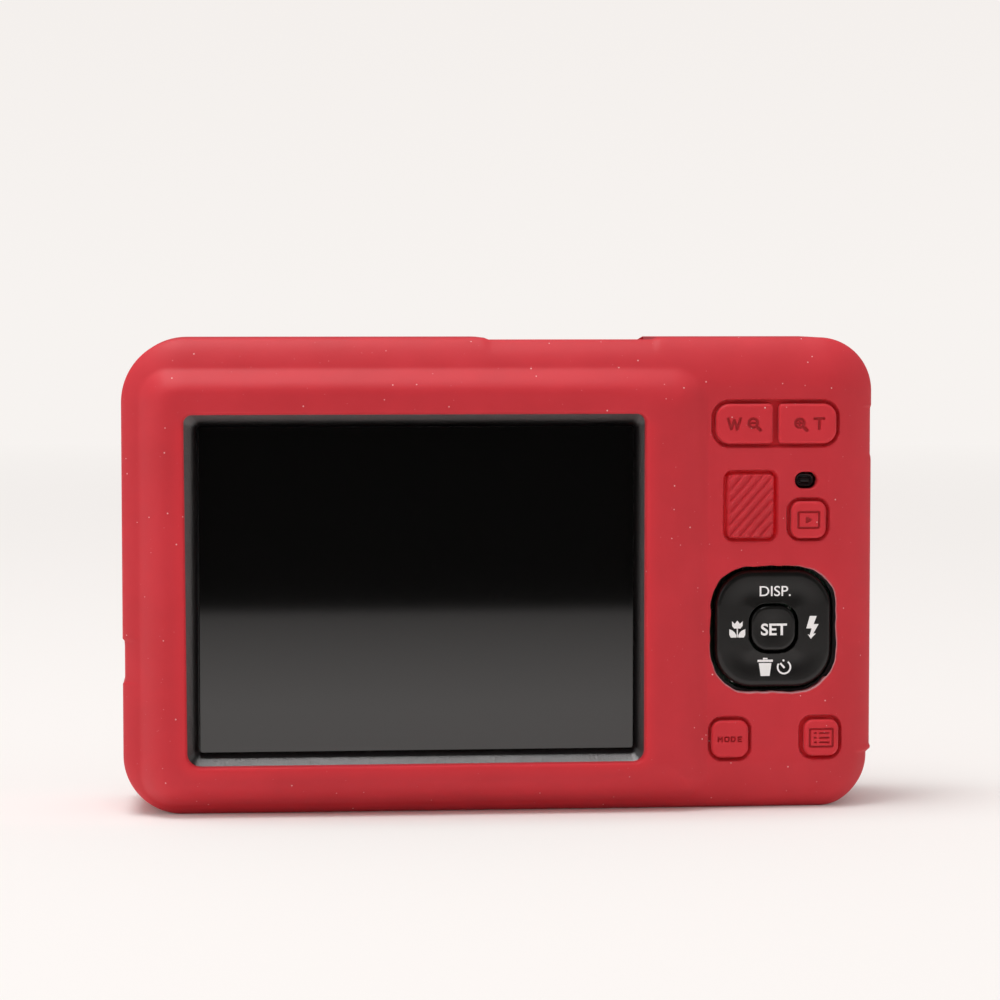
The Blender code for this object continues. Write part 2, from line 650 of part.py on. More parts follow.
def lens():
    black = material("lens_black", (0.02, 0.02, 0.022), 0.35)
    satin = material("satin_aluminium", (0.55, 0.55, 0.57), 0.3, 1.0)
    glass = material("coated_glass", (0.12, 0.14, 0.2), 0.03, alpha=0.45)
    base = turned(
        "lens_base",
        [(8.5, -4.5), (19.6, -4.5), (19.6, 6.9), (18.5, 6.9), (18.5, -3.3), (8.5, -3.3)],
        black,
    )
    notch = block((17.6 * MM, -3.2 * MM, -5.4 * MM), (22 * MM, 9 * MM, 5.4 * MM))
    bmesh.ops.rotate(notch, verts=notch.verts, matrix=Matrix.Rotation(-GEAR_DIRECTION, 3, "Y"))
    bmesh.ops.translate(notch, vec=(LENS_X, 0, LENS_Z), verts=notch.verts)
    cut(base, notch)
    ring_pitch = 2 * math.pi / RING_TEETH
    ring = turned("cam_ring", [(15.2, -2.9), (16.5, -2.9), (16.5, 6.6), (15.2, 6.6)], black)
    teeth = extruded(
        gear_outline(
            RING_TEETH, TOOTH_MODULE, (LENS_X, LENS_Z), GEAR_DIRECTION + ring_pitch / 2,
            (GEAR_DIRECTION + math.radians(50), math.radians(66)),
        ),
        GEAR_Y,
    )
    cut(change(ring, teeth, "UNION"), bar((LENS_X, LENS_Z), 15.9 * MM, (-5 * MM, 9 * MM), sides=48))
    turned("outer_barrel", [(13.2, -2.9), (14.8, -2.9), (14.8, 11.0), (13.2, 11.0)], satin)
    inner = turned(
        "inner_barrel",
        [(11.7, -2.0), (12.8, -2.0), (12.8, 11.0), (12.4, 11.4), (4.6, 11.4), (4.6, 10.5), (11.7, 10.5)],
        satin,
    )
    for side in (-1, 1):
        join(inner, bar((LENS_X + side * BLADE_PIVOT, LENS_Z), 0.5 * MM, (9.4 * MM, 10.9 * MM), sides=12))
    turned(
        "front_lens_ring",
        [(15.3, 8.8), (21.0, 8.8), (21.0, 10.6), (19.6, 12.1), (16.4, 12.4), (15.3, 11.8)],
        satin,
        steps=56,
    )
    turned(
        "front_lens",
        [(0, 5.4), (9.0, 5.4), (9.0, 7.2), (6.5, 8.2), (3.2, 8.8), (0, 9.0)],
        glass,
        steps=32,
    )
    turned(
        "shutter_unit",
        [(3.6, 1.4), (11.3, 1.4), (11.3, 5.0), (6.0, 5.0), (6.0, 3.0), (3.6, 3.0)],
        black,
        steps=32,
    )
    turned("middle_lens", [(0, 3.4), (5.6, 3.4), (5.6, 4.2), (3.0, 4.7), (0, 4.9)], glass, steps=24)
    turned(
        "focus_carriage", [(5.2, -2.7), (10.9, -2.7), (10.9, -1.7), (5.2, -1.7)], black, steps=28
    )
    turned("focus_lens", [(0, -2.6), (4.8, -2.6), (4.8, -1.6), (2.6, -1.2), (0, -1.1)], glass, steps=24)
    barrier_blades(black)
    part(
        "zoom_motor", bar((GEAR_X, GEAR_Z), 3.1 * MM, (-2.9 * MM, 2.6 * MM), sides=24),
        material("motor_steel", (0.5, 0.5, 0.52), 0.3, 1.0), origin=(GEAR_X, 0, GEAR_Z),
    )
    drive_gear = extruded(
        gear_outline(GEAR_TEETH, TOOTH_MODULE, (GEAR_X, GEAR_Z), GEAR_DIRECTION + math.pi),
        GEAR_Y,
    )
    gear = part(
        "drive_gear", drive_gear, material("gear_plastic", (0.8, 0.78, 0.7), 0.4), origin=(GEAR_X, 0, GEAR_Z)
    )
    cut(gear, bar((GEAR_X + 3 * MM, GEAR_Z), 0.7 * MM, (2 * MM, 7 * MM), sides=12))


def barrier_blades(look):
    """Two blades that swing apart about pivots at either side of the lens opening."""
    reach = 11.2 * MM
    thickness = (9.5 * MM, 10.1 * MM)
    for name, side in (("upper_barrier_blade", 1), ("lower_barrier_blade", -1)):
        pivot_x = LENS_X - side * BLADE_PIVOT
        blade = part(
            name,
            bar((LENS_X, LENS_Z), reach, thickness, sides=48),
            look,
            origin=(pivot_x, 0, LENS_Z),
        )
        swing = math.cos(BLADE_OPENING), math.sin(BLADE_OPENING)
        open_x = LENS_X - side * BLADE_PIVOT * (1 - swing[0])
        open_z = LENS_Z - side * BLADE_PIVOT * swing[1]
        outside = bar((open_x, open_z), 40 * MM, (5 * MM, 15 * MM), sides=24)
        inside = bar((open_x, open_z), reach, (4 * MM, 16 * MM), sides=48)
        cut(change(blade, outside, "DIFFERENCE"), inside)
        half = sorted((LENS_Z - side * 20 * MM, LENS_Z + side * 0.05 * MM))
        cut(
            blade,
            block((LENS_X - 30 * MM, 5 * MM, half[0]), (LENS_X + 30 * MM, 15 * MM, half[1])),
            bar((pivot_x, LENS_Z), 0.8 * MM, (5 * MM, 15 * MM), sides=16),
        )


# ---------------------------------------------------------------- battery, card, door and sockets


def battery_bay():
    tray = part(
        "battery_tray",
        block(
            (BATTERY_X[0] - 1.1 * MM, BATTERY_Y[0] - 1.0 * MM, 5.2 * MM),
            (BATTERY_X[1] + 1.1 * MM, BATTERY_Y[1] + 1.0 * MM, 46 * MM),
        ),
        material("tray_plastic", (0.05, 0.05, 0.055), 0.5),
    )
    cut(
        tray,
        block(
            (BATTERY_X[0] - 0.4 * MM, BATTERY_Y[0] - 0.4 * MM, 0),
            (BATTERY_X[1] + 0.4 * MM, BATTERY_Y[1] + 0.4 * MM, 45 * MM),
        ),
    )
    for side in (-1, 1):
        lug_y = sorted((side * 3.4 * MM, side * 4.8 * MM))
        join(
            tray,
            block((38.6 * MM, lug_y[0], 5.4 * MM), (HINGE_X + 1 * MM, lug_y[1], 6.6 * MM)),
            block((HINGE_X - 1 * MM, lug_y[0], HINGE_Z), (HINGE_X + 1 * MM, lug_y[1], 6.6 * MM)),
            bar((HINGE_X, HINGE_Z), 1.0 * MM, lug_y, sides=20),
        )
    join(tray, block((38.6 * MM, -4.8 * MM, 5.4 * MM), (39.4 * MM, 0, 8 * MM)))
    cut(tray, bar((HINGE_X, HINGE_Z), 0.65 * MM, (-8 * MM, 8 * MM), sides=16))
    part(
        "battery",
        slab(BATTERY_X, BATTERY_Y, BATTERY_Z, 1.2 * MM, segments=2),
        material("battery_wrap", (0.12, 0.13, 0.16), 0.4),
    )
    socket = part(
        "card_socket",
        block((CARD_X[0] - 1 * MM, -4.6 * MM, 10 * MM), (CARD_X[1] + 1 * MM, -1.8 * MM, 39.4 * MM)),
        PARTS.objects["chassis"].data.materials[0],
    )
    cut(socket, block((CARD_X[0] - GAP, -4.2 * MM, 0), (CARD_X[1] + GAP, 0, 38.4 * MM)))
    card = part(
        "memory_card",
        block((CARD_X[0], CARD_Y[0], CARD_Z[0]), (CARD_X[1], CARD_Y[1], CARD_Z[1])),
        material("card_plastic", (0.04, 0.05, 0.09), 0.45),
    )
    corner = block((-2.9 * MM, -10 * MM, -2.9 * MM), (2.9 * MM, 10 * MM, 2.9 * MM))
    bmesh.ops.rotate(corner, verts=corner.verts, matrix=Matrix.Rotation(math.pi / 4, 3, "Y"))
    bmesh.ops.translate(corner, vec=(CARD_X[0], 0, CARD_Z[1]), verts=corner.verts)
    cut(card, corner)
    battery_door()


def battery_door():
    look = material("door_plastic", (0.03, 0.03, 0.032), 0.5)
    plate_z = (CASE_LOW, CASE_LOW + 1.2 * MM)
    door = part(
        "battery_door",
        block((DOOR_X[0], -DOOR_Y, plate_z[0]), (39.0 * MM, DOOR_Y, plate_z[1])),
        look,
        origin=(HINGE_X, 0, HINGE_Z),
    )
    join(
        door,
        block((38.8 * MM, -3.1 * MM, plate_z[0]), (HINGE_X, 3.1 * MM, plate_z[1])),
        bar((HINGE_X, HINGE_Z), 1.0 * MM, (-3.1 * MM, 3.1 * MM), sides=20),
    )
    cut(
        door,
        bar((HINGE_X, HINGE_Z), 0.65 * MM, (-8 * MM, 8 * MM), sides=16),
        block((9 * MM, -2.2 * MM, 0), (15 * MM, 2.2 * MM, 3.0 * MM)),
        block((9.6 * MM, -1.2 * MM, 0), (14.4 * MM, 1.2 * MM, 5 * MM)),
    )
    part(
        "hinge_pin",
        bar((HINGE_X, HINGE_Z), 0.5 * MM, (-5.2 * MM, 5.2 * MM), sides=16),
        PARTS.objects["chassis"].data.materials[0],
        origin=(HINGE_X, 0, HINGE_Z),
    )
    latch = part(
        "door_latch",
        block((9.3 * MM, -1.9 * MM, 2.45 * MM), (12.7 * MM, 1.9 * MM, 2.75 * MM)),
        material("latch_plastic", (0.1, 0.1, 0.105), 0.5),
    )
    join(
        latch,
        block((9.9 * MM, -0.9 * MM, 2.6 * MM), (12.1 * MM, 0.9 * MM, 4.1 * MM)),
        block((7.2 * MM, -1.6 * MM, 3.9 * MM), (12.1 * MM, 1.6 * MM, 4.5 * MM)),
    )


def sockets():
    steel = PARTS.objects["chassis"].data.materials[0]
    rubber = material("port_rubber", (0.03, 0.03, 0.03), 0.7)
    port = part(
        "data_socket",
        block((-44.6 * MM, -3.4 * MM, PORT_Z - 1.6 * MM), (-39 * MM, 4.0 * MM, PORT_Z + 1.6 * MM)),
        steel,
    )
    cut(port, block((-50 * MM, -3.0 * MM, PORT_Z - 1.2 * MM), (-39.6 * MM, 3.6 * MM, PORT_Z + 1.2 * MM)))
    part(
        "port_cover",
        block((-46.3 * MM, -3.7 * MM, PORT_Z - 2.1 * MM), (-45.1 * MM, 4.3 * MM, PORT_Z + 2.1 * MM)),
        rubber,
        origin=(-46.3 * MM, 0, PORT_Z - 2.1 * MM),
    )
    bush = part(
        "tripod_socket",
        bar((TRIPOD_X, 0), 4.75 * MM, (CASE_LOW, 8.4 * MM), axis="Z", sides=32),
        material("bush_steel", (0.6, 0.6, 0.6), 0.3, 1.0),
        origin=(TRIPOD_X, 0, CASE_LOW),
    )
    cut(bush, bar((TRIPOD_X, 0), 3.17 * MM, (0, 7.6 * MM), axis="Z", sides=32))
    cup = part(
        "strap_eyelet",
        block((41.5 * MM, -4 * MM, STRAP_Z - 3.9 * MM), (45.9 * MM, 4 * MM, STRAP_Z + 3.9 * MM)),
        material("eyelet_metal", (0.45, 0.45, 0.46), 0.35, 1.0),
    )
    cut(cup, block((42.3 * MM, -3.2 * MM, STRAP_Z - 3.1 * MM), (50 * MM, 3.2 * MM, STRAP_Z + 3.1 * MM)))
    join(cup, bar((45.0 * MM, 0), 0.7 * MM, (STRAP_Z - 3.5 * MM, STRAP_Z + 3.5 * MM), axis="Z", sides=16))


# ---------------------------------------------------------------- assembly

clear_scene()
PARTS = new_collection("compact_camera")
CUTTERS = new_collection("cutters")
silicone_sleeve()
casing()
screws()
screen()
keys()
electronics()
top_buttons()
lens()
battery_bay()
sockets()
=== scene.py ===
"""The looks of a pocket camera in a red silicone sleeve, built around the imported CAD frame.

The frame is in metres. The surfaces are worked out in millimetres, with x to the right, y away from the
screen's side and z up, and turned into metres when a mesh is made.
"""

import math

import bmesh
import bpy
import numpy as np
from mathutils import Matrix, Vector

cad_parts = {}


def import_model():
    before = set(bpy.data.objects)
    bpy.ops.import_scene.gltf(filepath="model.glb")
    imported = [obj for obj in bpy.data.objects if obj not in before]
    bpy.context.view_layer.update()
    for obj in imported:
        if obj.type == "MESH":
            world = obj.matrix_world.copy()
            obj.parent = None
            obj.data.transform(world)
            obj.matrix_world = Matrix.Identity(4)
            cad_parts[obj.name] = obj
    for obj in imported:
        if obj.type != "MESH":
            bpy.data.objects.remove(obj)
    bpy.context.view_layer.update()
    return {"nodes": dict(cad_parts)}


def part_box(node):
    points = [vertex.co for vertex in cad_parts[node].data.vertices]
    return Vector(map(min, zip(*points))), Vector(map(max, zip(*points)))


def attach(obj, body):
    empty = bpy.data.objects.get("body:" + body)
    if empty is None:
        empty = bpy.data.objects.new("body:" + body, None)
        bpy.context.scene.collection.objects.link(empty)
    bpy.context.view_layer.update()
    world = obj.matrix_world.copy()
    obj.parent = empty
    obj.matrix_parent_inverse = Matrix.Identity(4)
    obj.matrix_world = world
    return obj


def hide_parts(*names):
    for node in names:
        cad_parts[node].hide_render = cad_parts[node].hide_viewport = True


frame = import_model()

MM = 0.001
QUARTER = math.pi / 2


def node_box(name):
    """A CAD node's box in millimetres: (x0, x1, y0, y1, z0, z1)."""
    low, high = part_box(name)
    return tuple(value / MM for pair in zip(low, high) for value in pair)


def face_of(box):
    """A box's limits in x and z."""
    return box[0], box[1], box[4], box[5]


def middle_of(box):
    """The middle of a box's face, in x and z."""
    return (box[0] + box[1]) / 2, (box[4] + box[5]) / 2


# ---------------------------------------------------------------- sizes in millimetres

SLEEVE = node_box("silicone_sleeve")
STEP_OUT = 1.8  # how far the screen side stands out from the control side
BACK_Y = SLEEVE[2] + STEP_OUT
FRONT_Y = SLEEVE[3]
SLEEVE_RIM, SLEEVE_FALL, FRONT_RIM = 6.4, 3.2, 3.0  # the back rim is wider than it is deep
SLEEVE_FULLNESS = 1.55  # the back rim's bulge: 2 is a quarter of an ellipse
INNER_RIM = 1.1
SLEEVE_CORNERS = {(-1, 1): 8.2, (1, 1): 6.9, (1, -1): 6.7, (-1, -1): 7.6}
WALL, FACE_WALL = 2.1, 1.6
WEB_Y = BACK_Y + 1.15
STEP_BOX = (-46.1, 26.6, 1.2, 57.0)
STEP_CORNERS = {(-1, 1): 4.0, (1, 1): 4.8, (1, -1): 3.2, (-1, -1): 4.2}
INNER_STEP_BOX = (-43.9, 24.7, 3.3, 55.5)
WINDOW = (-40.3, 18.25, 6.55, 51.15)
WINDOW_CORNER = {(-1, 1): 1.1, (1, 1): 1.1, (1, -1): 1.5, (-1, -1): 1.7}
PAD = node_box("control_pad")
PAD_CORNER = 4.8
PAD_OPENING = (26.85, 43.2, 15.2, 31.5)
PAD_OPENING_CORNER = 5.3
PAD_MIDDLE = (34.85, 23.5)
DISH_MIDDLE = (35, 23.55)  # the deepest place of the centre key's face
LIGHT = node_box("status_light")
LIGHT_MIDDLE = middle_of(LIGHT)
THUMB_REST = (29.0, 35.0, 35.15, 43.35)
THUMB_GROOVE = (28.52, 35.47, 34.7, 43.85)
KEY_GROOVES = {  # the sunk outline round each key, and its corner
    "rocker": ((26.95, 43.5, 46.8, 52.85), 2.3),
    "play": ((36.7, 42.22, 34.7, 40.27), 1.8),
    "mode": ((26.66, 32.2, 6.42, 12.1), 1.8),
    "menu": ((38.43, 43.98, 6.5, 12.2), 1.8),
}
LENS = (-14.0, 29.5)  # the lens axis, in x and z


# ---------------------------------------------------------------- shapes as distances


def smooth(t):
    t = np.clip(t, 0.0, 1.0)
    return t * t * (3 - 2 * t)


def rounded_box(x, z, box, corner):
    """Distance to a rounded rectangle (x0, x1, z0, z1), negative inside.

    corner is one radius, or a radius for each corner.
    """
    mx, mz = (box[0] + box[1]) / 2, (box[2] + box[3]) / 2
    px, pz = x - mx, z - mz
    if isinstance(corner, dict):
        radius = np.where(
            px < 0,
            np.where(pz > 0, corner[(-1, 1)], corner[(-1, -1)]),
            np.where(pz > 0, corner[(1, 1)], corner[(1, -1)]),
        )
    else:
        radius = corner
    ax = np.abs(px) - (box[1] - box[0]) / 2 + radius
    az = np.abs(pz) - (box[3] - box[2]) / 2 + radius
    outside = np.hypot(np.maximum(ax, 0), np.maximum(az, 0))
    return outside + np.minimum(np.maximum(ax, az), 0) - radius


def stroke(x, z, points, closed=False):
    """Distance to a line through the points."""
    ends = list(zip(points, points[1:] + points[:1])) if closed else list(zip(points, points[1:]))
    nearest = np.full(np.shape(x), 1e9)
    for (ax, az), (bx, bz) in ends:
        dx, dz = bx - ax, bz - az
        share = np.clip(((x - ax) * dx + (z - az) * dz) / (dx * dx + dz * dz), 0, 1)
        nearest = np.minimum(nearest, np.hypot(x - ax - share * dx, z - az - share * dz))
    return nearest


def lines(*spans):
    """Places along an axis: each span is (start, end, step), and shared ends are kept once."""
    found = []
    for start, end, step in spans:
        count = max(1, round((end - start) / step))
        found.extend(np.linspace(start, end, count + 1))
    found = np.unique(np.round(found, 5))
    return found[np.insert(np.diff(found) > 0.02, 0, True)]


# ---------------------------------------------------------------- slabs with a soft rim


class Slab:
    """A grid laid over a rounded slab's back face and round its rim, as far as the slab's outline.

    xs and zs are places on the unrolled face, on which the rim's quarter circle lies flat.
    """

    def __init__(self, box, corners, rim, xs, zs, fall=None, fullness=2.0):
        self.box, self.rim = box, rim
        self.spare = rim * (QUARTER - 1)
        if not isinstance(corners, dict):
            corners = {side: corners for side in ((-1, 1), (1, 1), (1, -1), (-1, -1))}
        x, z = np.meshgrid(xs, zs)
        self.x, inset_x, self.normal_x = self.roll(x, box[0], box[1])
        self.z, inset_z, self.normal_z = self.roll(z, box[2], box[3])
        self.inset = np.minimum(inset_x, inset_z)
        for (side_x, side_z), radius in corners.items():
            middle_x = box[1] - radius if side_x > 0 else box[0] + radius
            middle_z = box[3] - radius if side_z > 0 else box[2] + radius
            dx, dz = side_x * (x - middle_x), side_z * (z - middle_z)
            inside = (dx > 0) & (dz > 0)
            far, length = np.maximum(dx, dz), np.maximum(np.hypot(dx, dz), 1e-9)
            inset = radius + self.spare - far
            reach = radius - self.depth(inset)
            self.x = np.where(inside, middle_x + side_x * reach * dx / length, self.x)
            self.z = np.where(inside, middle_z + side_z * reach * dz / length, self.z)
            self.inset = np.where(inside, inset, self.inset)
            self.normal_x = np.where(inside, side_x * dx / length, self.normal_x)
            self.normal_z = np.where(inside, side_z * dz / length, self.normal_z)
        self.inset = np.maximum(self.inset, 0)
        across = np.cos(np.minimum(self.inset / rim, QUARTER))
        self.drop = (fall or rim) * (1 - (1 - across**fullness) ** (1 / fullness))

    def depth(self, inset):
        """How far in from the outline a place on the unrolled face lies."""
        turned = np.clip(inset / self.rim, 0, QUARTER)
        return np.where(inset < self.rim * QUARTER, self.rim * (1 - np.cos(turned)), inset - self.spare)

    def roll(self, place, low, high):
        from_low, from_high = place - (low - self.spare), (high + self.spare) - place
        edge = self.rim * QUARTER
        rolled = np.where(from_low < edge, low + self.depth(from_low), place)
        rolled = np.where(from_high < edge, high - self.depth(from_high), rolled)
        normal = np.where(from_low < 1e-6, -1.0, np.where(from_high < 1e-6, 1.0, 0.0))
        return rolled, np.minimum(from_low, from_high), normal

    def border(self):
        """The grid's outer points in order, as (row, column)."""
        rows, columns = self.x.shape
        order = [(0, c) for c in range(columns)]
        order += [(r, columns - 1) for r in range(1, rows)]
        order += [(rows - 1, c) for c in range(columns - 2, -1, -1)]
        order += [(r, 0) for r in range(rows - 2, 0, -1)]
        return order


def unrolled(box, rim, step):
    """Evenly spaced places over a slab's face and rim, for both axes."""
    spare = rim * (QUARTER - 1)
    return (
        lines((box[0] - spare, box[1] + spare, step)),
        lines((box[2] - spare, box[3] + spare, step)),
    )


def grid_faces(rows, columns):
    index = np.arange(rows * columns).reshape(rows, columns)
    a, b = index[:-1, :-1].ravel(), index[:-1, 1:].ravel()
    c, d = index[1:, 1:].ravel(), index[1:, :-1].ravel()
    return np.stack([a, b, c, d], axis=1)


# ---------------------------------------------------------------- objects


def new_object(name, shape, look, body, replaced=(), sharp=40.0):
    """A mesh from millimetre points and faces, riding on a body and standing for the CAD nodes named."""
    points, faces = shape
    data = bpy.data.meshes.new(name)
    data.from_pydata((np.asarray(points) * MM).tolist(), [], [list(face) for face in faces])
    data.validate()
    return adopt(name, data, look, body, replaced, sharp)


def adopt(name, data, look, body, replaced=(), sharp=40.0):
    data.materials.clear()
    data.materials.append(look)
    data.shade_smooth()
    if sharp:
        data.set_sharp_from_angle(angle=math.radians(sharp))
    made = bpy.data.objects.new(name, data)
    bpy.context.scene.collection.objects.link(made)
    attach(made, body)
    for node in replaced:
        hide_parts(node)
    return made


def soft_slab(box, y_face, y_foot, corners, rim, step, relief=None):
    """Points and faces of a closed slab with a rolled rim, whose face looks towards -Y."""
    xs, zs = unrolled(box, rim, step)
    slab = Slab(box, corners, rim, xs, zs)
    y = y_face + slab.drop
    if relief is not None:
        y = y + relief(slab.x, slab.z)
    points = np.stack([slab.x, y, slab.z], axis=-1).reshape(-1, 3)
    rows, columns = slab.x.shape
    border = np.array([r * columns + c for r, c in slab.border()])
    foot = points[border].copy()
    foot[:, 1] = y_foot
    first = len(points)
    count = len(border)
    faces = grid_faces(rows, columns).tolist()
    for i in range(count):
        j = (i + 1) % count
        faces.append([border[j], border[i], first + i, first + j])
    faces.append([first + i for i in range(count - 1, -1, -1)])
    return np.concatenate([points, foot]), faces


# ---------------------------------------------------------------- materials


class Nodes:
    """Short names for building a material's nodes."""

    def __init__(self, name, world=False):
        self.owner = bpy.data.worlds.new(name) if world else bpy.data.materials.new(name)
        self.owner.use_nodes = True
        self.tree = self.owner.node_tree
        if not world:
            self.shader = self.tree.nodes["Principled BSDF"]

    def add(self, kind, **values):
        node = self.tree.nodes.new(kind)
        for key, value in values.items():
            if hasattr(node, key):
                setattr(node, key, value)
            else:
                node.inputs[key.replace("_", " ").title()].default_value = value
        return node

    def link(self, source, target):
        self.tree.links.new(source, target)

    def place(self, scale):
        """Object coordinates in millimetres, times one scale or a scale for each axis."""
        scales = scale if isinstance(scale, tuple) else (scale,) * 3
        mapping = self.add("ShaderNodeMapping", Scale=tuple(one / MM for one in scales))
        self.link(self.add("ShaderNodeTexCoord").outputs["Object"], mapping.inputs["Vector"])
        return mapping.outputs["Vector"]

    def noise(self, scale, detail=3.0, rough=0.5):
        node = self.add("ShaderNodeTexNoise", Scale=1.0, Detail=detail, Roughness=rough)
        self.link(self.place(scale), node.inputs["Vector"])
        return node.outputs["Fac"]

    def spots(self, scale, low, high, start, end):
        """Round spots: the distance to the nearest scattered point, mapped from start..end to low..high."""
        cells = self.add("ShaderNodeTexVoronoi", Scale=1.0)
        self.link(self.place(scale), cells.inputs["Vector"])
        return self.spread(cells.outputs["Distance"], low, high, start, end)

    def length(self, vector):
        node = self.add("ShaderNodeVectorMath", operation="LENGTH")
        self.link(vector, node.inputs[0])
        return node.outputs["Value"]

    def join(self, operation, first, second):
        node = self.add("ShaderNodeMath", operation=operation)
        self.link(first, node.inputs[0])
        self.link(second, node.inputs[1])
        return node.outputs["Value"]

    def blend(self, share, first, second):
        """One shader or another, by a share from 0 to 1."""
        node = self.add("ShaderNodeMixShader")
        for source, socket in zip((share, first, second), node.inputs):
            self.link(source, socket)
        return node.outputs["Shader"]

    def spread(self, value, low, high, start=0.0, end=1.0):
        """A value mapped from start..end to low..high, kept inside."""
        node = self.add("ShaderNodeMapRange")
        for name, number in zip(("From Min", "From Max", "To Min", "To Max"), (start, end, low, high)):
            node.inputs[name].default_value = number
        self.link(value, node.inputs["Value"])
        return node.outputs["Result"]

    def mix(self, share, first, second):
        node = self.add("ShaderNodeMix", data_type="RGBA")
        for socket, value in ((node.inputs[0], share), (node.inputs[6], first), (node.inputs[7], second)):
            if isinstance(value, (int, float)):
                socket.default_value = value
            elif isinstance(value, tuple):
                socket.default_value = (*value, 1.0)
            else:
                self.link(value, socket)
        return node.outputs[2]

    def bump(self, height, distance, strength=1.0, normal=None):
        node = self.add("ShaderNodeBump")
        node.inputs["Distance"].default_value = distance * MM
        node.inputs["Strength"].default_value = strength
        self.link(height, node.inputs["Height"])
        if normal is not None:
            self.link(normal, node.inputs["Normal"])
        return node.outputs["Normal"]

    def set(self, **values):
        for key, value in values.items():
            socket = self.shader.inputs[key.replace("_", " ")]
            if isinstance(value, (int, float)):
                socket.default_value = value
            elif isinstance(value, tuple):
                socket.default_value = (*value, 1.0)[: len(socket.default_value)]
            else:
                self.link(value, socket)


def silicone():
    """Matt red silicone: a soft sheen, faint clouding of the colour, a little pale dust, and painted glow,
    painted shade and a painted highlight laid on by stored shares.
    """
    made = Nodes("red_silicone")
    cloud = made.noise(0.12, 4.0)
    colour = made.mix(made.spread(cloud, 0.0, 1.0, 0.35, 0.65), (0.59, 0.021, 0.033), (0.64, 0.025, 0.039))
    # Each stored share lays painted light over the colour: painted glow by the window and on the key caps,
    # painted glow in the grooves, painted shade in the pressed marks, and a painted highlight on the pad
    # opening's lip.
    for layer, tint in (
        ("thin", (0.78, 0.024, 0.038)), ("sunk", (0.9, 0.02, 0.035)), ("marked", (0.42, 0.01, 0.016)),
        ("pale", (0.55, 0.3, 0.32)),
    ):
        share = made.add("ShaderNodeAttribute", attribute_name=layer)
        colour = made.mix(share.outputs["Fac"], colour, tint)
    for scale, size, tint in ((0.55, 0.062, (0.85, 0.55, 0.55)), (0.9, 0.05, (0.7, 0.2, 0.22))):
        colour = made.mix(made.spots(scale, 1.0, 0.0, size * 0.6, size), colour, tint)
    grain = made.noise(4.0, 2.0)
    waves = made.noise(0.25, 2.0)
    normal = made.bump(grain, 0.02, 0.35)
    normal = made.bump(waves, 0.25, 0.2, normal)
    made.set(
        Base_Color=colour, Roughness=made.spread(cloud, 0.52, 0.6), Normal=normal,
        Specular_IOR_Level=0.4, Sheen_Weight=0.18, Sheen_Roughness=0.45, Sheen_Tint=(1.0, 0.5, 0.53),
        Subsurface_Weight=0.12, Subsurface_Scale=0.0012, Subsurface_Radius=(1.0, 0.15, 0.1),
    )
    return made.owner


def plastic(name, colour, roughness=0.45, grain=2.5, depth=0.02, coat=0.0, variation=0.15, ior=1.5):
    """Moulded plastic: a fine spark texture and a slight change of gloss."""
    made = Nodes(name)
    cloud = made.noise(0.15, 3.0)
    darker = tuple(channel * (1 - variation) for channel in colour)
    tint = made.mix(cloud, darker, colour)
    texture = made.noise(grain, 3.0, 0.6)
    made.set(
        Base_Color=tint, Roughness=made.spread(cloud, roughness - 0.05, roughness + 0.07),
        Normal=made.bump(texture, depth, 0.5), Coat_Weight=coat, Coat_Roughness=0.1, IOR=ior,
    )
    return made.owner


def metal(name, colour, roughness=0.3, grain=0.6, stretch=(1.0, 1.0, 12.0), depth=0.006):
    """Metal with fine lines along one axis."""
    made = Nodes(name)
    brushed = made.noise(tuple(grain * share for share in stretch), 4.0)
    worn = made.noise(0.2, 3.0)
    tint = made.mix(worn, tuple(channel * 0.88 for channel in colour), colour)
    made.set(
        Base_Color=tint, Metallic=1.0, Normal=made.bump(brushed, depth, 0.4),
        Roughness=made.spread(brushed, roughness - 0.06, roughness + 0.08),
    )
    return made.owner


def clear(name, colour, roughness=0.03, transmission=1.0, ior=1.5, coat=0.0):
    """Glass or clear plastic, with the faintest haze of fingerprints."""
    made = Nodes(name)
    smear = made.noise(0.1, 5.0, 0.65)
    made.set(
        Base_Color=made.mix(smear, colour, tuple(min(1.0, channel * 1.06) for channel in colour)),
        Roughness=made.spread(smear, roughness, roughness + 0.04, 0.5, 0.8),
        Transmission_Weight=transmission, IOR=ior, Coat_Weight=coat,
    )
    return made.owner


def black_glass():
    """The pane over the display: dark, even and highly polished, with a little dust."""
    made = Nodes("black_glass")
    dust = made.spots(0.22, 0.5, 0.0, 0.01, 0.016)
    colour = made.mix(dust, (0.0025, 0.0024, 0.0024), (0.5, 0.48, 0.46))
    made.set(Base_Color=colour, Roughness=0.05, IOR=1.72)
    return made.owner


def circuit(name):
    """Solder mask with lighter copper runs under it and tinned pads."""
    made = Nodes(name)
    bricks = made.add(
        "ShaderNodeTexBrick", Scale=1.0, Mortar_Size=0.06, Mortar=(0.05, 0.22, 0.1, 1),
        Color1=(0.012, 0.09, 0.04, 1), Color2=(0.015, 0.11, 0.05, 1),
    )
    made.link(made.place(0.8), bricks.inputs["Vector"])
    pads = made.spots(0.7, 1.0, 0.0, 0.14, 0.18)
    made.set(
        Base_Color=made.mix(pads, bricks.outputs["Color"], (0.6, 0.6, 0.58)),
        Roughness=made.spread(pads, 0.4, 0.25), Metallic=pads,
        Normal=made.bump(bricks.outputs["Fac"], 0.03, 0.4),
    )
    return made.owner


# ---------------------------------------------------------------- the sleeve


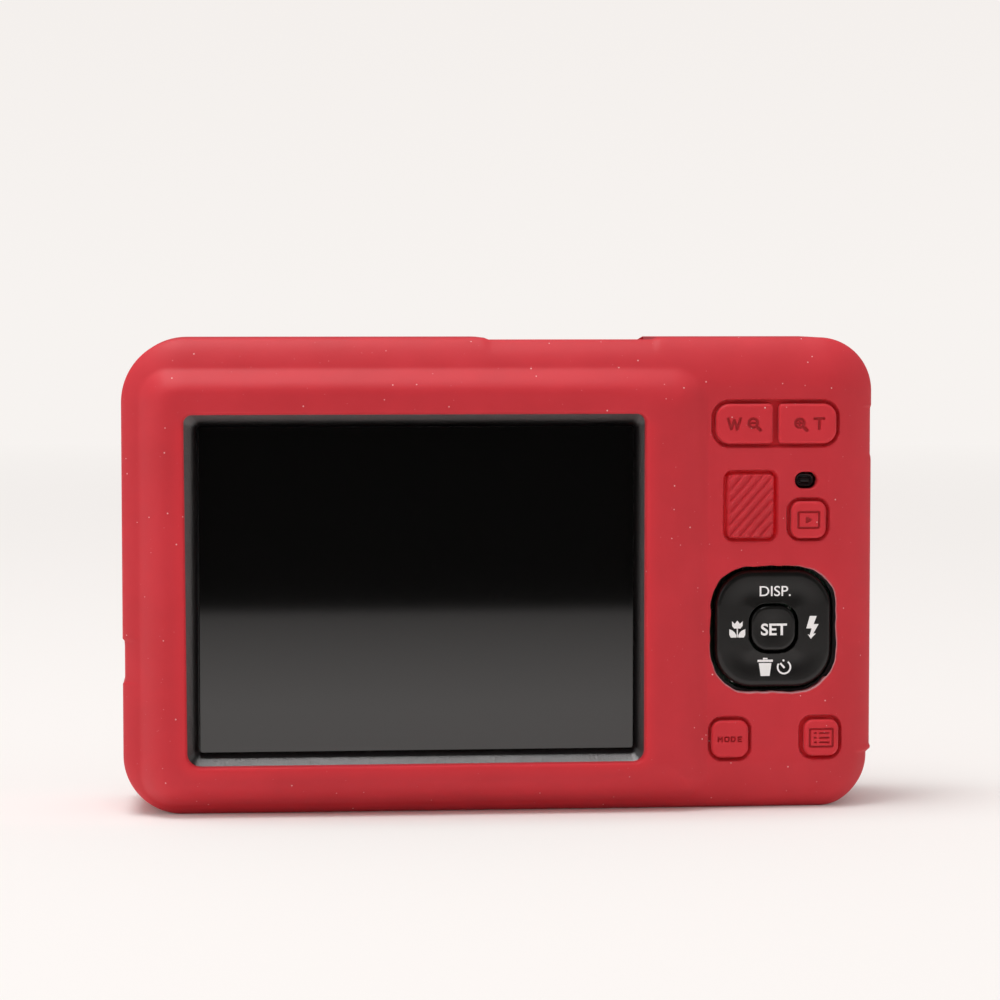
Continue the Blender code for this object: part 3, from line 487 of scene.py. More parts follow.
def step_height(x, z):
    """The screen side's step, which rises in a soft ramp from a crease."""
    inside = -rounded_box(x, z, STEP_BOX, STEP_CORNERS)
    gentle = smooth((x - 12) / 12)  # towards the keys the ramp is longer
    share = np.clip(inside / (3.5 + 1.9 * gentle), 0, 1)
    foot = 0.08  # the crease at the foot takes up this share of the ramp
    climbed = share - share**2 / 2 - foot * (1 - foot) + foot * np.exp(-share / foot) * (1 - share - foot)
    return STEP_OUT * climbed / (0.5 - foot * (1 - foot))


def recess(x, z, box, corner):
    """A sunk area with soft edges, from 0 outside to 1 on its floor."""
    return smooth((0.1 - rounded_box(x, z, box, corner)) / 0.28)


def grown(box, margin):
    return (box[0] - margin, box[1] + margin, box[2] - margin, box[3] + margin)


RIB_PITCH = 0.98


def ribs(x, z):
    """Slanting saw-tooth ribs for the thumb."""
    slant = math.radians(48)
    across = (z * math.cos(slant) - x * math.sin(slant)) / RIB_PITCH
    tooth = across - np.floor(across)
    return 0.42 * np.where(tooth < 0.7, tooth / 0.7, smooth((1 - tooth) / 0.3))


def thumb_rest(x, z):
    """Distance to the thumb rest's outline, negative inside."""
    return rounded_box(x, z, THUMB_REST, 0.6)


def sleeve_grooves(x, z):
    """The sunk outlines round the keys and then round the thumb rest, each from 0 to 1."""
    found = [recess(x, z, box, corner) for box, corner in KEY_GROOVES.values()]
    return found + [recess(x, z, THUMB_GROOVE, 1.2) * smooth((thumb_rest(x, z) + 0.12) / 0.22)]


def back_relief(x, z):
    """How far the sleeve's back lies in from its plain face, in y: out is negative."""
    y = -step_height(x, z)
    sunk = np.zeros(np.shape(x))
    for groove in sleeve_grooves(x, z):
        sunk = np.maximum(sunk, groove)
    y = y + (WEB_Y - BACK_Y) * sunk
    return y + (0.1 - ribs(x, z)) * smooth((-thumb_rest(x, z) - 0.02) / 0.12)


def window_edge(x, z):
    """The screen's window, whose left side leans in at its foot."""
    lean = 0.27 * (WINDOW[3] - z) / (WINDOW[3] - WINDOW[2]) * smooth(-x / 20)
    return rounded_box(x - lean, z, WINDOW, WINDOW_CORNER)


def pad_edge(x, z):
    """The pad's opening, with the slightly ragged edge of cut silicone."""
    angle = np.arctan2(z - PAD_MIDDLE[1], x - PAD_MIDDLE[0])
    ragged = 0.05 * np.sin(7 * angle + 0.6) + 0.035 * np.sin(17 * angle + 2.0) + 0.02 * np.sin(31 * angle)
    return rounded_box(x, z, PAD_OPENING, PAD_OPENING_CORNER) + ragged


def light_edge(x, z):
    """The status light's opening: a lying pill, from its half width and half height."""
    wide, tall = 1.46, 1.08
    along = np.clip(x - LIGHT_MIDDLE[0], -(wide - tall), wide - tall)
    return np.hypot(x - LIGHT_MIDDLE[0] - along, z - LIGHT_MIDDLE[1]) - tall


# Each opening in the back, and the radius of its rounded lip.
BACK_HOLES = ((window_edge, 0.45), (pad_edge, 0.22), (light_edge, 0.25))


def snap(x, z, edge, chosen):
    """Moves the chosen points onto a hole's outline."""
    tiny = 1e-3
    for _ in range(3):
        away = edge(x, z)
        slope_x = (edge(x + tiny, z) - away) / tiny
        slope_z = (edge(x, z + tiny) - away) / tiny
        length = np.maximum(np.hypot(slope_x, slope_z), 1e-6)
        x = np.where(chosen, x - away * slope_x / length, x)
        z = np.where(chosen, z - away * slope_z / length, z)
    return x, z


def sleeve_lines():
    spare = SLEEVE_RIM * (QUARTER - 1)
    x0, x1, z0, z1 = SLEEVE[0] - spare, SLEEVE[1] + spare, SLEEVE[4] - spare, SLEEVE[5] + spare
    xs = lines(
        (x0, -42.4, 0.27), (-42.4, -40.7, 0.4), (-40.7, -40.1, 0.15), (-40.1, -38.9, 0.2),
        (-38.9, 16.7, 0.55), (16.7, 17.95, 0.2), (17.95, 18.55, 0.15), (18.55, 23.0, 0.45),
        (23.0, 26.4, 0.25), (26.4, 44.3, 0.14), (44.3, x1, 0.3),
    )
    zs = lines(
        (z0, 5.2, 0.3), (5.2, 6.3, 0.3), (6.3, 12.6, 0.15), (12.6, 14.4, 0.4), (14.4, 20.8, 0.15),
        (20.8, 26.4, 0.25), (26.4, 31.8, 0.15), (31.8, 34.5, 0.4), (34.5, 44.2, 0.14), (44.2, 46.5, 0.4),
        (46.5, 53.3, 0.15), (53.3, z1, 0.28),
    )
    return xs, zs


# Openings in the sleeve's side walls: which wall, then the limits along it and in depth.
SIDE_OPENINGS = (
    ("top", -2.0, 20.3, -7.0, 7.0),
    ("left", 16.7, 22.4, -5.6, 6.2),
    ("right", 45.5, 53.2, -4.9, 4.9),
    ("bottom", 6.1, 42.4, -6.8, 6.8),
)
TRIPOD = (-16.0, 6.2)  # the tripod hole's middle, in x, and its radius
BAND_LINES = lines(  # the side walls' rows, in y
    (-7.4, -7.0, 0.2), (-7.0, -6.8, 0.2), (-6.8, -4.9, 0.45), (-4.9, 4.9, 0.6), (4.9, 6.2, 0.6),
    (6.2, 6.8, 0.6), (6.8, 7.0, 0.2), (7.0, 7.4, 0.4),
)
FRONT_TURNS = np.linspace(0, QUARTER, 8)[1:]  # the steps round the front rim


def notch_dip(points):
    """Draws the outer skin in a little where a side opening's lip comes round onto the rim."""
    x, y, z = points.T
    reach = smooth((y + 9.8) / 1.6) * smooth((9.4 - y) / 1.4)

    def between(value, low, high, soft=0.3):
        return smooth((value - low) / soft + 0.5) * smooth((high - value) / soft + 0.5)

    further = 0.24 + 0.02 * np.clip(y + 7.0, 0, 14)
    z = z - further * between(x, -1.9, 20.1) * reach * smooth((z - 57.0) / 1.5)
    side = 0.28 * between(z, 17.0, 22.4) * (x < -45) - 0.13 * between(z, 45.4, 51.9) * (x > 45)
    side = side + smooth((x - 42) / 5) * (0.15 * between(z, 7.3, 7.9, 0.4) - 0.42 * smooth((7.5 - z) / 0.5))
    return np.stack([x + side * reach, y, z], axis=1)


class Shell:
    """A thick skin: each point has an outer and an inner place, and each open edge gets a wall."""

    def __init__(self):
        self.outer, self.inner, self.faces = [], [], []
        self.count = 0

    def add(self, outer, inner):
        self.outer.append(np.asarray(outer, float))
        self.inner.append(np.asarray(inner, float))
        first = self.count
        self.count += len(outer)
        return first

    def mesh(self):
        """All points, then all faces: outer, inner and the walls between them at open edges."""
        outer, inner = notch_dip(np.concatenate(self.outer)), np.concatenate(self.inner)
        total = len(outer)
        seen = {}
        for face in self.faces:
            for a, b in zip(face, face[1:] + face[:1]):
                if (b, a) in seen:
                    del seen[(b, a)]
                else:
                    seen[(a, b)] = True
        walls = [[b, a, a + total, b + total] for a, b in seen]
        inside = [[i + total for i in reversed(face)] for face in self.faces]
        used = np.zeros(2 * total, bool)
        faces = self.faces + inside + walls
        for face in faces:
            used[face] = True
        renumber = np.cumsum(used) - 1
        points = np.concatenate([outer, inner])[used]
        return points, [[int(renumber[i]) for i in face] for face in faces]


def sleeve_back(shell):
    """The back face and the rim round it. Returns the slab and the index of each border point."""
    xs, zs = sleeve_lines()
    box = face_of(SLEEVE)
    slab = Slab(box, SLEEVE_CORNERS, SLEEVE_RIM, xs, zs, SLEEVE_FALL, SLEEVE_FULLNESS)
    x, z = slab.x.copy(), slab.z.copy()
    rows, columns = x.shape
    faces = grid_faces(rows, columns)
    kept = np.ones(len(faces), bool)
    rolled = slab.inset < SLEEVE_RIM * QUARTER
    for edge, _ in BACK_HOLES:
        centre = edge(x.ravel()[faces].mean(axis=1), z.ravel()[faces].mean(axis=1))
        gone = centre < 0
        touched = np.zeros(rows * columns, int)
        np.add.at(touched, faces[gone].ravel(), 1)
        held = np.zeros(rows * columns, int)
        np.add.at(held, faces[~gone].ravel(), 1)
        border = ((touched > 0) & (held > 0)).reshape(rows, columns)
        x, z = snap(x, z, edge, border)
        kept &= ~gone
    y = BACK_Y + slab.drop + back_relief(x, z)
    for edge, lip in BACK_HOLES:
        away = np.clip(edge(x, z), 0, lip)
        y = y + lip - np.sqrt(lip * lip - (lip - away) ** 2)
    turn = np.minimum(slab.inset / SLEEVE_RIM, QUARTER)
    inward = np.where(rolled, WALL + INNER_RIM * (1 - np.cos(turn)) - slab.depth(slab.inset), 0.0)
    normal_x, normal_z = inward_normal(slab, rolled)
    inner_x, inner_z = x - normal_x * inward, z - normal_z * inward
    recessed = np.clip(-rounded_box(inner_x, inner_z, INNER_STEP_BOX, 3.3) / 1.8, 0, 1)
    inner_y = BACK_Y + FACE_WALL + INNER_RIM * (1 - np.sin(turn)) - STEP_OUT * recessed
    outer, inner = (
        np.stack(places, axis=-1).reshape(-1, 3) for places in ((x, y, z), (inner_x, inner_y, inner_z))
    )
    first = shell.add(outer, inner)
    shell.faces += (faces[kept] + first).tolist()
    return slab, [first + r * columns + c for r, c in slab.border()]


def inward_normal(slab, rolled):
    """The outline's normal at each rim point, found from the way out to the nearest side or corner."""
    gap_x = np.where(slab.x > 0, slab.box[1] - slab.x, slab.x - slab.box[0])
    upper = slab.z > 30  # about half the sleeve's height
    gap_z = np.where(upper, slab.box[3] - slab.z, slab.z - slab.box[2])
    side_x, side_z = np.where(slab.x > 0, 1.0, -1.0), np.where(upper, 1.0, -1.0)
    cornered = (slab.normal_x != 0) & (slab.normal_z != 0)
    by_x = gap_x < gap_z
    normal_x = np.where(cornered, slab.normal_x, np.where(by_x, side_x, 0.0))
    normal_z = np.where(cornered, slab.normal_z, np.where(by_x, 0.0, side_z))
    return np.where(rolled, normal_x, 0.0), np.where(rolled, normal_z, 0.0)


def sleeve_band(shell, slab, border):
    """The side walls, with their openings, and the rim towards the front. Returns the last loop."""
    order = slab.border()
    x = np.array([slab.x[p] for p in order])
    z = np.array([slab.z[p] for p in order])
    normal = np.array([(slab.normal_x[p], slab.normal_z[p]) for p in order])
    normal /= np.linalg.norm(normal, axis=1)[:, None]
    chosen = coarse_places(x, z)
    flat = len(BAND_LINES) - 1

    def rising(depth):
        return list(BAND_LINES[1:]) + [FRONT_Y - FRONT_RIM + depth * math.sin(t) for t in FRONT_TURNS]

    def curling(start, radius):
        return [start] * flat + [start + radius * (1 - math.cos(t)) for t in FRONT_TURNS]

    levels, inner_levels = rising(FRONT_RIM), rising(FRONT_RIM - FACE_WALL)
    insets, inner_insets = curling(0.0, FRONT_RIM), curling(WALL, FRONT_RIM - WALL)
    px, pz, pn = x[chosen], z[chosen], normal[chosen]
    count = len(chosen)
    loops = []
    for level, inset, inner_level, inner_inset in zip(levels, insets, inner_levels, inner_insets):
        loops.append(shell.add(*(
            np.stack([px - pn[:, 0] * back, np.full(count, y), pz - pn[:, 1] * back], axis=1)
            for back, y in ((inset, level), (inner_inset, inner_level))
        )))
    last = len(order)
    for i in range(count):
        j = (i + 1) % count
        stop = chosen[j] if chosen[j] > chosen[i] else last
        run = [border[k % last] for k in range(chosen[i], stop + 1)]
        shell.faces.append(run[::-1] + [loops[0] + i, loops[0] + j])
    holes = band_holes(px, pz, pn)
    for lower, upper, y0, y1 in zip(loops, loops[1:], levels, levels[1:]):
        for i in range(count):
            j = (i + 1) % count
            if not in_opening(holes, i, j, (y0 + y1) / 2):
                shell.faces.append([lower + j, lower + i, upper + i, upper + j])
    round_tripod_hole(shell, loops, pn)
    return loops[-1], count


def coarse_places(x, z):
    """Which border points the side walls use: about one each half millimetre, and an opening's ends."""
    step, least, near = 0.52, 0.3, 0.08
    chosen, travelled = [0], 0.0
    for i in range(1, len(x)):
        travelled += math.hypot(x[i] - x[i - 1], z[i] - z[i - 1])
        edge = any(
            abs((x if wall in ("top", "bottom") else z)[i] - place) < near
            for wall, low, high, _, _ in SIDE_OPENINGS
            for place in (low, high)
        )
        if travelled >= step or (edge and travelled > least):
            chosen.append(i)
            travelled = 0.0
    return chosen


def band_holes(px, pz, pn):
    """For each opening, the walls' places that it spans."""
    walls = {
        "top": pn[:, 1] > 0.99, "bottom": pn[:, 1] < -0.99, "left": pn[:, 0] < -0.99, "right": pn[:, 0] > 0.99
    }
    found = []
    for wall, low, high, y0, y1 in SIDE_OPENINGS:
        along = px if wall in ("top", "bottom") else pz
        found.append((walls[wall], along, low, high, y0, y1))
    return found


def in_opening(holes, i, j, level):
    for wall, along, low, high, y0, y1 in holes:
        middle = (along[i] + along[j]) / 2
        if wall[i] and wall[j] and low < middle < high and y0 < level < y1:
            return True
    return False


def round_tripod_hole(shell, loops, pn):
    """Opens the round hole under the tripod socket and draws its edge onto the circle."""
    middle_x, radius = TRIPOD
    points, inner = np.concatenate(shell.outer), np.concatenate(shell.inner)
    on_base = {
        loop + i for loop in loops[: len(BAND_LINES) - 1] for i in range(len(pn)) if pn[i, 1] < -0.99
    }
    kept, touched, held = [], set(), set()
    for face in shell.faces:
        if len(face) == 4 and all(i in on_base for i in face):
            centre = points[face].mean(axis=0)
            if math.hypot(centre[0] - middle_x, centre[1]) < radius:
                touched.update(face)
                continue
            held.update(face)
        kept.append(face)
    shell.faces = kept
    for i in touched & held:
        away = points[i, 0] - middle_x, points[i, 1]
        share = radius / math.hypot(*away)
        points[i, 0] = inner[i, 0] = middle_x + away[0] * share
        points[i, 1] = inner[i, 1] = away[1] * share
    shell.outer, shell.inner = [points], [inner]


FLASH_OPENING = (14.2, 38.2, 46.4, 55.8)
# The bead round the lens opening, as (radius, y).
LENS_BEAD = ((25.4, 0.0), (25.1, 0.1), (24.7, 0.34), (24.2, 0.52), (23.6, 0.6), (23.0, 0.56), (22.6, 0.38),
             (22.38, 0.1), (22.3, -0.25))


def sleeve_front(shell, loop, count):
    """The flat front between the rim, the bead round the lens and the flash opening."""
    rings = [[loop + i for i in range(count)]]
    turns = np.linspace(0, 2 * math.pi, 144, endpoint=False)
    bead = [
        (np.stack([LENS[0] + radius * np.cos(turns), LENS[1] + radius * np.sin(turns)], axis=1), rise)
        for radius, rise in LENS_BEAD
    ]
    lip = [
        (np.array(round_outline(grown(FLASH_OPENING, margin), 3.0 + margin, 8)), rise)
        for margin, rise in ((0.45, 0.0), (0.25, -0.06), (0.08, -0.2), (0.0, -0.45))
    ]
    for edge in (bead, lip):
        loops = []
        for outline, rise in edge:
            outer = np.stack([outline[:, 0], np.full(len(outline), FRONT_Y + rise), outline[:, 1]], axis=1)
            inner = outer.copy()
            inner[:, 1] = FRONT_Y - FACE_WALL
            first = shell.add(outer, inner)
            loops.append([first + i for i in range(len(outline))])
        rings.append(loops[0])
        for before, after in zip(loops, loops[1:]):
            for i in range(len(before)):
                j = (i + 1) % len(before)
                shell.faces.append([before[i], before[j], after[j], after[i]])
    points = np.concatenate(shell.outer)
    filled = bmesh.new()
    numbers = {}
    for ring in rings:
        verts = [filled.verts.new(Vector(points[i])) for i in ring]
        numbers.update(zip(verts, ring))
        for a, b in zip(verts, verts[1:] + verts[:1]):
            filled.edges.new((a, b))
    bmesh.ops.triangle_fill(
        filled, use_beauty=True, use_dissolve=False, edges=filled.edges, normal=(0, 1, 0)
    )
    for face in filled.faces:
        face.normal_update()
        ring = [numbers[v] for v in face.verts]
        shell.faces.append(ring if face.normal.y > 0 else ring[::-1])
    filled.free()


def round_outline(box, corner, steps):
    """Points round a rounded rectangle, anticlockwise in x and z."""
    x0, x1, z0, z1 = box
    centres = ((x1 - corner, z1 - corner, 0), (x0 + corner, z1 - corner, 1), (x0 + corner, z0 + corner, 2),
               (x1 - corner, z0 + corner, 3))
    found = []
    for cx, cz, quarter in centres:
        for step in range(steps + 1):
            angle = (quarter + step / steps) * QUARTER
            found.append((cx + corner * math.cos(angle), cz + corner * math.sin(angle)))
    return found


def silicone_sleeve(look):
    shell = Shell()
    slab, border = sleeve_back(shell)
    loop, count = sleeve_band(shell, slab, border)
    sleeve_front(shell, loop, count)
    points, faces = shell.mesh()
    made = new_object("sleeve", (points, faces), look, "camera_body", ["silicone_sleeve"], sharp=50.0)
    x, y, z = points.T
    from_window = window_edge(x, z)
    # Painted glow: the back face is lightened round the screen's window, though not along its top, as if
    # light shone through thin silicone.
    glow = (1 - smooth(from_window / 2.2)) * (y < BACK_Y) * smooth((WINDOW[3] + 0.5 - z) / 3.0)
    shade(made, "thin", 0.5 * glow)
    # Painted glow: the grooves round the keys and the thumb rest are lightened against the shade that falls
    # in them.
    shade(made, "sunk", np.clip(sum(sleeve_grooves(x, z)), 0, 1) * (y < WEB_Y + 0.3))
    # Painted highlight: a pale line along the pad opening's lip, on its lower right side only.
    lip = (1 - smooth(np.abs(pad_edge(x, z)) / 0.16)) * (y < BACK_Y + 0.5) * smooth((x - z - 3) / 9)
    shade(made, "pale", lip)
    return made


def shade(made, name, values):
    """Stores a share for each point, which the silicone's colour follows: painted glow, painted glow in
    grooves, painted shade in marks, or a painted highlight on a lip.
    """
    layer = made.data.attributes.new(name, "FLOAT", "POINT")
    layer.data.foreach_set("value", np.asarray(values, np.float32))


# ---------------------------------------------------------------- marks pressed into the keys


def magnifier(x, z, plus):
    marks = [
        np.abs(np.hypot(x, z) - 0.56), stroke(x, z, [(0.48, -0.48), (0.92, -0.92)]) - 0.03,
        stroke(x, z, [(-0.26, 0), (0.26, 0)]) + 0.04,
    ]
    if plus:
        marks.append(stroke(x, z, [(0, -0.26), (0, 0.26)]) + 0.04)
    return np.minimum.reduce(marks)


def mark_wide(x, z):
    """A W and a magnifier with a minus in it."""
    letter = [(-2.13, 0.66), (-1.74, -0.66), (-1.35, 0.462), (-0.96, -0.66), (-0.57, 0.66)]
    return np.minimum(stroke(x, z, letter), magnifier(x - 1.1, z - 0.12, False))


def mark_tele(x, z):
    """A magnifier with a plus in it and a T."""
    bar, stem = [(0.92, 0.66), (2.08, 0.66)], [(1.5, 0.66), (1.5, -0.66)]
    return np.minimum.reduce([stroke(x, z, bar), stroke(x, z, stem), magnifier(x + 1.03, z - 0.08, True)])


def mark_play(x, z):
    """A triangle in a rectangle."""
    outline = np.abs(rounded_box(x, z, (-1.35, 1.35, -1.02, 1.02), 0.12))
    return np.minimum(outline, stroke(x, z, [(-0.2, 0.24), (0.22, 0), (-0.2, -0.24)], closed=True) - 0.04)


def mark_menu(x, z):
    """A list in a rectangle."""
    marks = [np.abs(rounded_box(x, z, (-1.5, 1.5, -1.15, 1.15), 0.12))]
    for row in (0.6, 0.0, -0.6):
        for start, end in ((-0.2, 0.95), (-0.85, -0.7)):
            marks.append(stroke(x, z, [(start, row), (end, row)]) + 0.02)
    return np.minimum.reduce(marks)


def mark_mode(x, z):
    """Four small letters side by side."""
    tall, gap = 0.28, 0.84
    m, o, d, e = (x - (place - 1.5) * gap for place in range(4))
    return np.minimum.reduce([
        stroke(m, z, [(-0.25, -tall), (-0.25, tall), (0, -0.05), (0.25, tall), (0.25, -tall)]),
        np.abs(rounded_box(o, z, (-0.27, 0.27, -tall, tall), 0.2)),
        stroke(d, z, [(-0.24, -tall), (-0.24, tall), (0.1, tall), (0.26, 0), (0.1, -tall)], closed=True),
        stroke(e, z, [(0.22, tall), (-0.2, tall), (-0.2, -tall), (0.22, -tall)]),
        stroke(e, z, [(-0.2, 0), (0.16, 0)]),
    ])


def ends(left, right):
    """Corner radii of a cap whose left and right ends differ."""
    return {(-1, 1): left, (-1, -1): left, (1, 1): right, (1, -1): right}


# Each key's mark, the half width of its lines, the body that the cap moves with, and the cap's corners.
KEY_MARKS = {
    "wide": (mark_wide, 0.17, "zoom_rocker", ends(1.75, 0.55)),
    "tele": (mark_tele, 0.17, "zoom_rocker", ends(0.55, 1.75)),
    "play": (mark_play, 0.13, "playback_key", 1.2),
    "mode": (mark_mode, 0.085, "mode_key", 1.3),
    "menu": (mark_menu, 0.12, "menu_key", 1.2),
}


def sleeve_keys(look):
    for name, (mark, half, body, corner) in KEY_MARKS.items():
        x0, x1, y0, _, z0, z1 = node_box("sleeve_key_" + name)
        cx, cz = (x0 + x1) / 2, (z0 + z1) / 2 - 0.02

        def relief(x, z, mark=mark, half=half, cx=cx, cz=cz):
            return 0.24 * (1 - smooth((mark(x - cx, z - cz) - half + 0.05) / 0.1))

        points, faces = soft_slab((x0, x1, z0, z1), y0, y0 + 0.95, corner, 0.42, 0.07, relief)
        made = new_object("cap_" + name, (points, faces), look, body, ["sleeve_key_" + name])
        x, y, z = points.T
        # Painted glow lightens each cap's face, and painted shade darkens the pressed mark on it.
        shade(made, "thin", 0.3 * (y < y0 + 0.5))
        shade(made, "marked", (1 - smooth((mark(x - cx, z - cz) - half + 0.08) / 0.14)) * (y < y0 + 0.5))


# ---------------------------------------------------------------- the screen


def stacked(loops, steps, ring=False):
    """Points and faces of rounded rectangles (box, corner, y) joined in order.

    They make a ring, or a body with both ends closed.
    """
    points, faces = [], []
    count = 4 * (steps + 1)
    for index, (box, corner, y) in enumerate(loops):
        points += [(x, y, z) for x, z in round_outline(box, corner, steps)]
        if index + 1 == len(loops) and not ring:
            break
        here, after = index * count, ((index + 1) % len(loops)) * count
        for i in range(count):
            j = (i + 1) % count
            faces.append([here + i, here + j, after + j, after + i])
    if not ring:
        faces.append(list(range(count - 1, -1, -1)))
        faces.append(list(range((len(loops) - 1) * count, len(loops) * count)))
    return np.array(points), faces


def screen(bezel_look, glass_look):
    """The bezel slopes in from the sleeve's window to the glass; the glass is one clear dark pane."""
    bx0, bx1, by0, by1, bz0, bz1 = node_box("screen_bezel")
    gx0, gx1, gy0, gy1, gz0, gz1 = node_box("screen_window")
    well = (gx0 - 0.12, gx1 + 0.12, gz0 - 0.06, gz1 + 0.06)
    loops = [
        ((bx0, bx1, bz0, bz1), 1.2, by1), ((bx0, bx1, bz0, bz1), 1.2, by0 + 0.15),
        (grown((bx0, bx1, bz0, bz1), -0.15), 1.1, by0), (grown(WINDOW, 0.1), 1.5, by0 - 0.3),
        (well, 0.5, by0 + 1.4),
        (well, 0.5, by0 + 1.5),
    ]
    new_object("bezel", stacked(loops, 6, ring=True), bezel_look, "camera_body", ["screen_bezel"], sharp=30.0)
    pane = (gx0, gx1, gz0, gz1)
    loops = ((pane, 0.4, gy1), (pane, 0.4, gy0 + 0.12), (grown(pane, -0.12), 0.3, gy0))
    new_object("glass", stacked(loops, 5), glass_look, "camera_body", ["screen_window"], sharp=20.0)


# ---------------------------------------------------------------- the four-way pad


def pad_relief(x, z):
    """A shallow ring-shaped dish, deepest a little way in from the pad's edge."""
    away = rounded_box(x, z, face_of(PAD), PAD_CORNER)
    return 0.12 * np.exp(-(((away + 3.2) / 1.6) ** 2))


def control_pad(look):
    box = face_of(PAD)
    slab = soft_slab(box, PAD[2], PAD[3], PAD_CORNER, 0.75, 0.16, pad_relief)
    made = new_object("four_way_pad", slab, look, "control_pad", ["control_pad"])
    key = node_box("set_button")
    hole = grown(face_of(key), 0.35)
    outline = round_outline(hole, 2.45, 8)
    tool = prism("pad_hole_tool", outline, PAD[2] - 2, PAD[3] + 2)
    cut_by(made, tool)
    edge = made.modifiers.new("Soft edge", "BEVEL")
    edge.width = 0.12 * MM
    edge.segments = 2
    edge.limit_method = "ANGLE"
    edge.angle_limit = math.radians(60)

    def dish(x, z):
        return 0.1 * np.exp(-(((x - DISH_MIDDLE[0]) ** 2 + (z - DISH_MIDDLE[1]) ** 2) / 3.0))

    slab = soft_slab(face_of(key), key[2], key[3], 2.2, 0.4, 0.12, dish)
    new_object("centre_key", slab, look, "set_button", ["set_button"])


def prism(name, outline, y0, y1):
    count = len(outline)
    points = [(x, y, z) for y in (y0, y1) for x, z in outline]
    faces = [[i, (i + 1) % count, count + (i + 1) % count, count + i] for i in range(count)]
    faces += [list(range(count - 1, -1, -1)), list(range(count, 2 * count))]
    data = bpy.data.meshes.new(name)
    data.from_pydata((np.array(points) * MM).tolist(), [], faces)
    mesh = bmesh.new()
    mesh.from_mesh(data)
    bmesh.ops.recalc_face_normals(mesh, faces=mesh.faces)
    mesh.to_mesh(data)
    mesh.free()
    made = bpy.data.objects.new(name, data)
    bpy.context.scene.collection.objects.link(made)
    return made


def cut_by(target, tool):
    """Cuts the tool out of the target, for good, and removes the tool."""
    bpy.context.view_layer.update()
    modifier = target.modifiers.new("Cut", "BOOLEAN")
    modifier.object = tool
    bpy.context.view_layer.update()
    evaluated = target.evaluated_get(bpy.context.evaluated_depsgraph_get())
    data = bpy.data.meshes.new_from_object(evaluated)
    target.modifiers.remove(modifier)
    target.data = data
    bpy.data.objects.remove(tool)


# ---------------------------------------------------------------- printed marks


def flat_mark(name, shapes, y, look, body):
    """Flat printed shapes, a hair thick: each shape is an outline of (x, z) points, anticlockwise."""
    mesh = bmesh.new()
    for outline in shapes:
        verts = [mesh.verts.new((x * MM, y * MM, z * MM)) for x, z in outline]
        face = mesh.faces.new(verts)
        grown_part = bmesh.ops.extrude_face_region(mesh, geom=[face])
        moved = [item for item in grown_part["geom"] if isinstance(item, bmesh.types.BMVert)]
        bmesh.ops.translate(mesh, vec=(0, 0.03 * MM, 0), verts=moved)
    bmesh.ops.recalc_face_normals(mesh, faces=mesh.faces)
    data = bpy.data.meshes.new(name)
    mesh.to_mesh(data)
    mesh.free()
    return adopt(name, data, look, body)


def ring_part(cx, cz, inner, outer, start, end, steps=20):
    """Part of a flat ring, from one angle to another, in degrees."""
    angles = [math.radians(start + (end - start) * i / steps) for i in range(steps + 1)]
    return [(cx + outer * math.cos(a), cz + outer * math.sin(a)) for a in angles] + [
        (cx + inner * math.cos(a), cz + inner * math.sin(a)) for a in reversed(angles)
    ]


def bar_mark(ax, az, bx, bz, half):
    """A straight printed line with square ends."""
    length = math.hypot(bx - ax, bz - az)
    nx, nz = -(bz - az) / length * half, (bx - ax) / length * half
    return [(ax + nx, az + nz), (ax - nx, az - nz), (bx - nx, bz - nz), (bx + nx, bz + nz)]


def written(name, text, cx, cz, height, y, look, body, weight=0.0, squeeze=1.0):
    """A word in Blender's own plain font, centred at (cx, cz)."""
    curve = bpy.data.curves.new(name, "FONT")
    curve.body = text
    curve.size = height / 0.7 * MM  # a capital letter's share of the font's size
    curve.offset = weight * MM
    curve.extrude = 0.015 * MM
    curve.align_x = "CENTER"
    curve.align_y = "CENTER"
    curve.resolution_u = 6
    holder = bpy.data.objects.new(name + "_text", curve)
    bpy.context.scene.collection.objects.link(holder)
    bpy.context.view_layer.update()
    data = bpy.data.meshes.new_from_object(holder.evaluated_get(bpy.context.evaluated_depsgraph_get()))
    bpy.data.objects.remove(holder)
    corners = np.array([v.co[:2] for v in data.vertices])
    middle = (corners.min(axis=0) + corners.max(axis=0)) / 2
    data.transform(Matrix.Translation((-middle[0], -middle[1], 0)))
    data.transform(Matrix.Diagonal((squeeze, 1, 1, 1)))
    data.transform(Matrix.Rotation(QUARTER, 4, "X"))
    data.transform(Matrix.Translation((cx * MM, y * MM, cz * MM)))
    data.name = name
    return adopt(name, data, look, body)


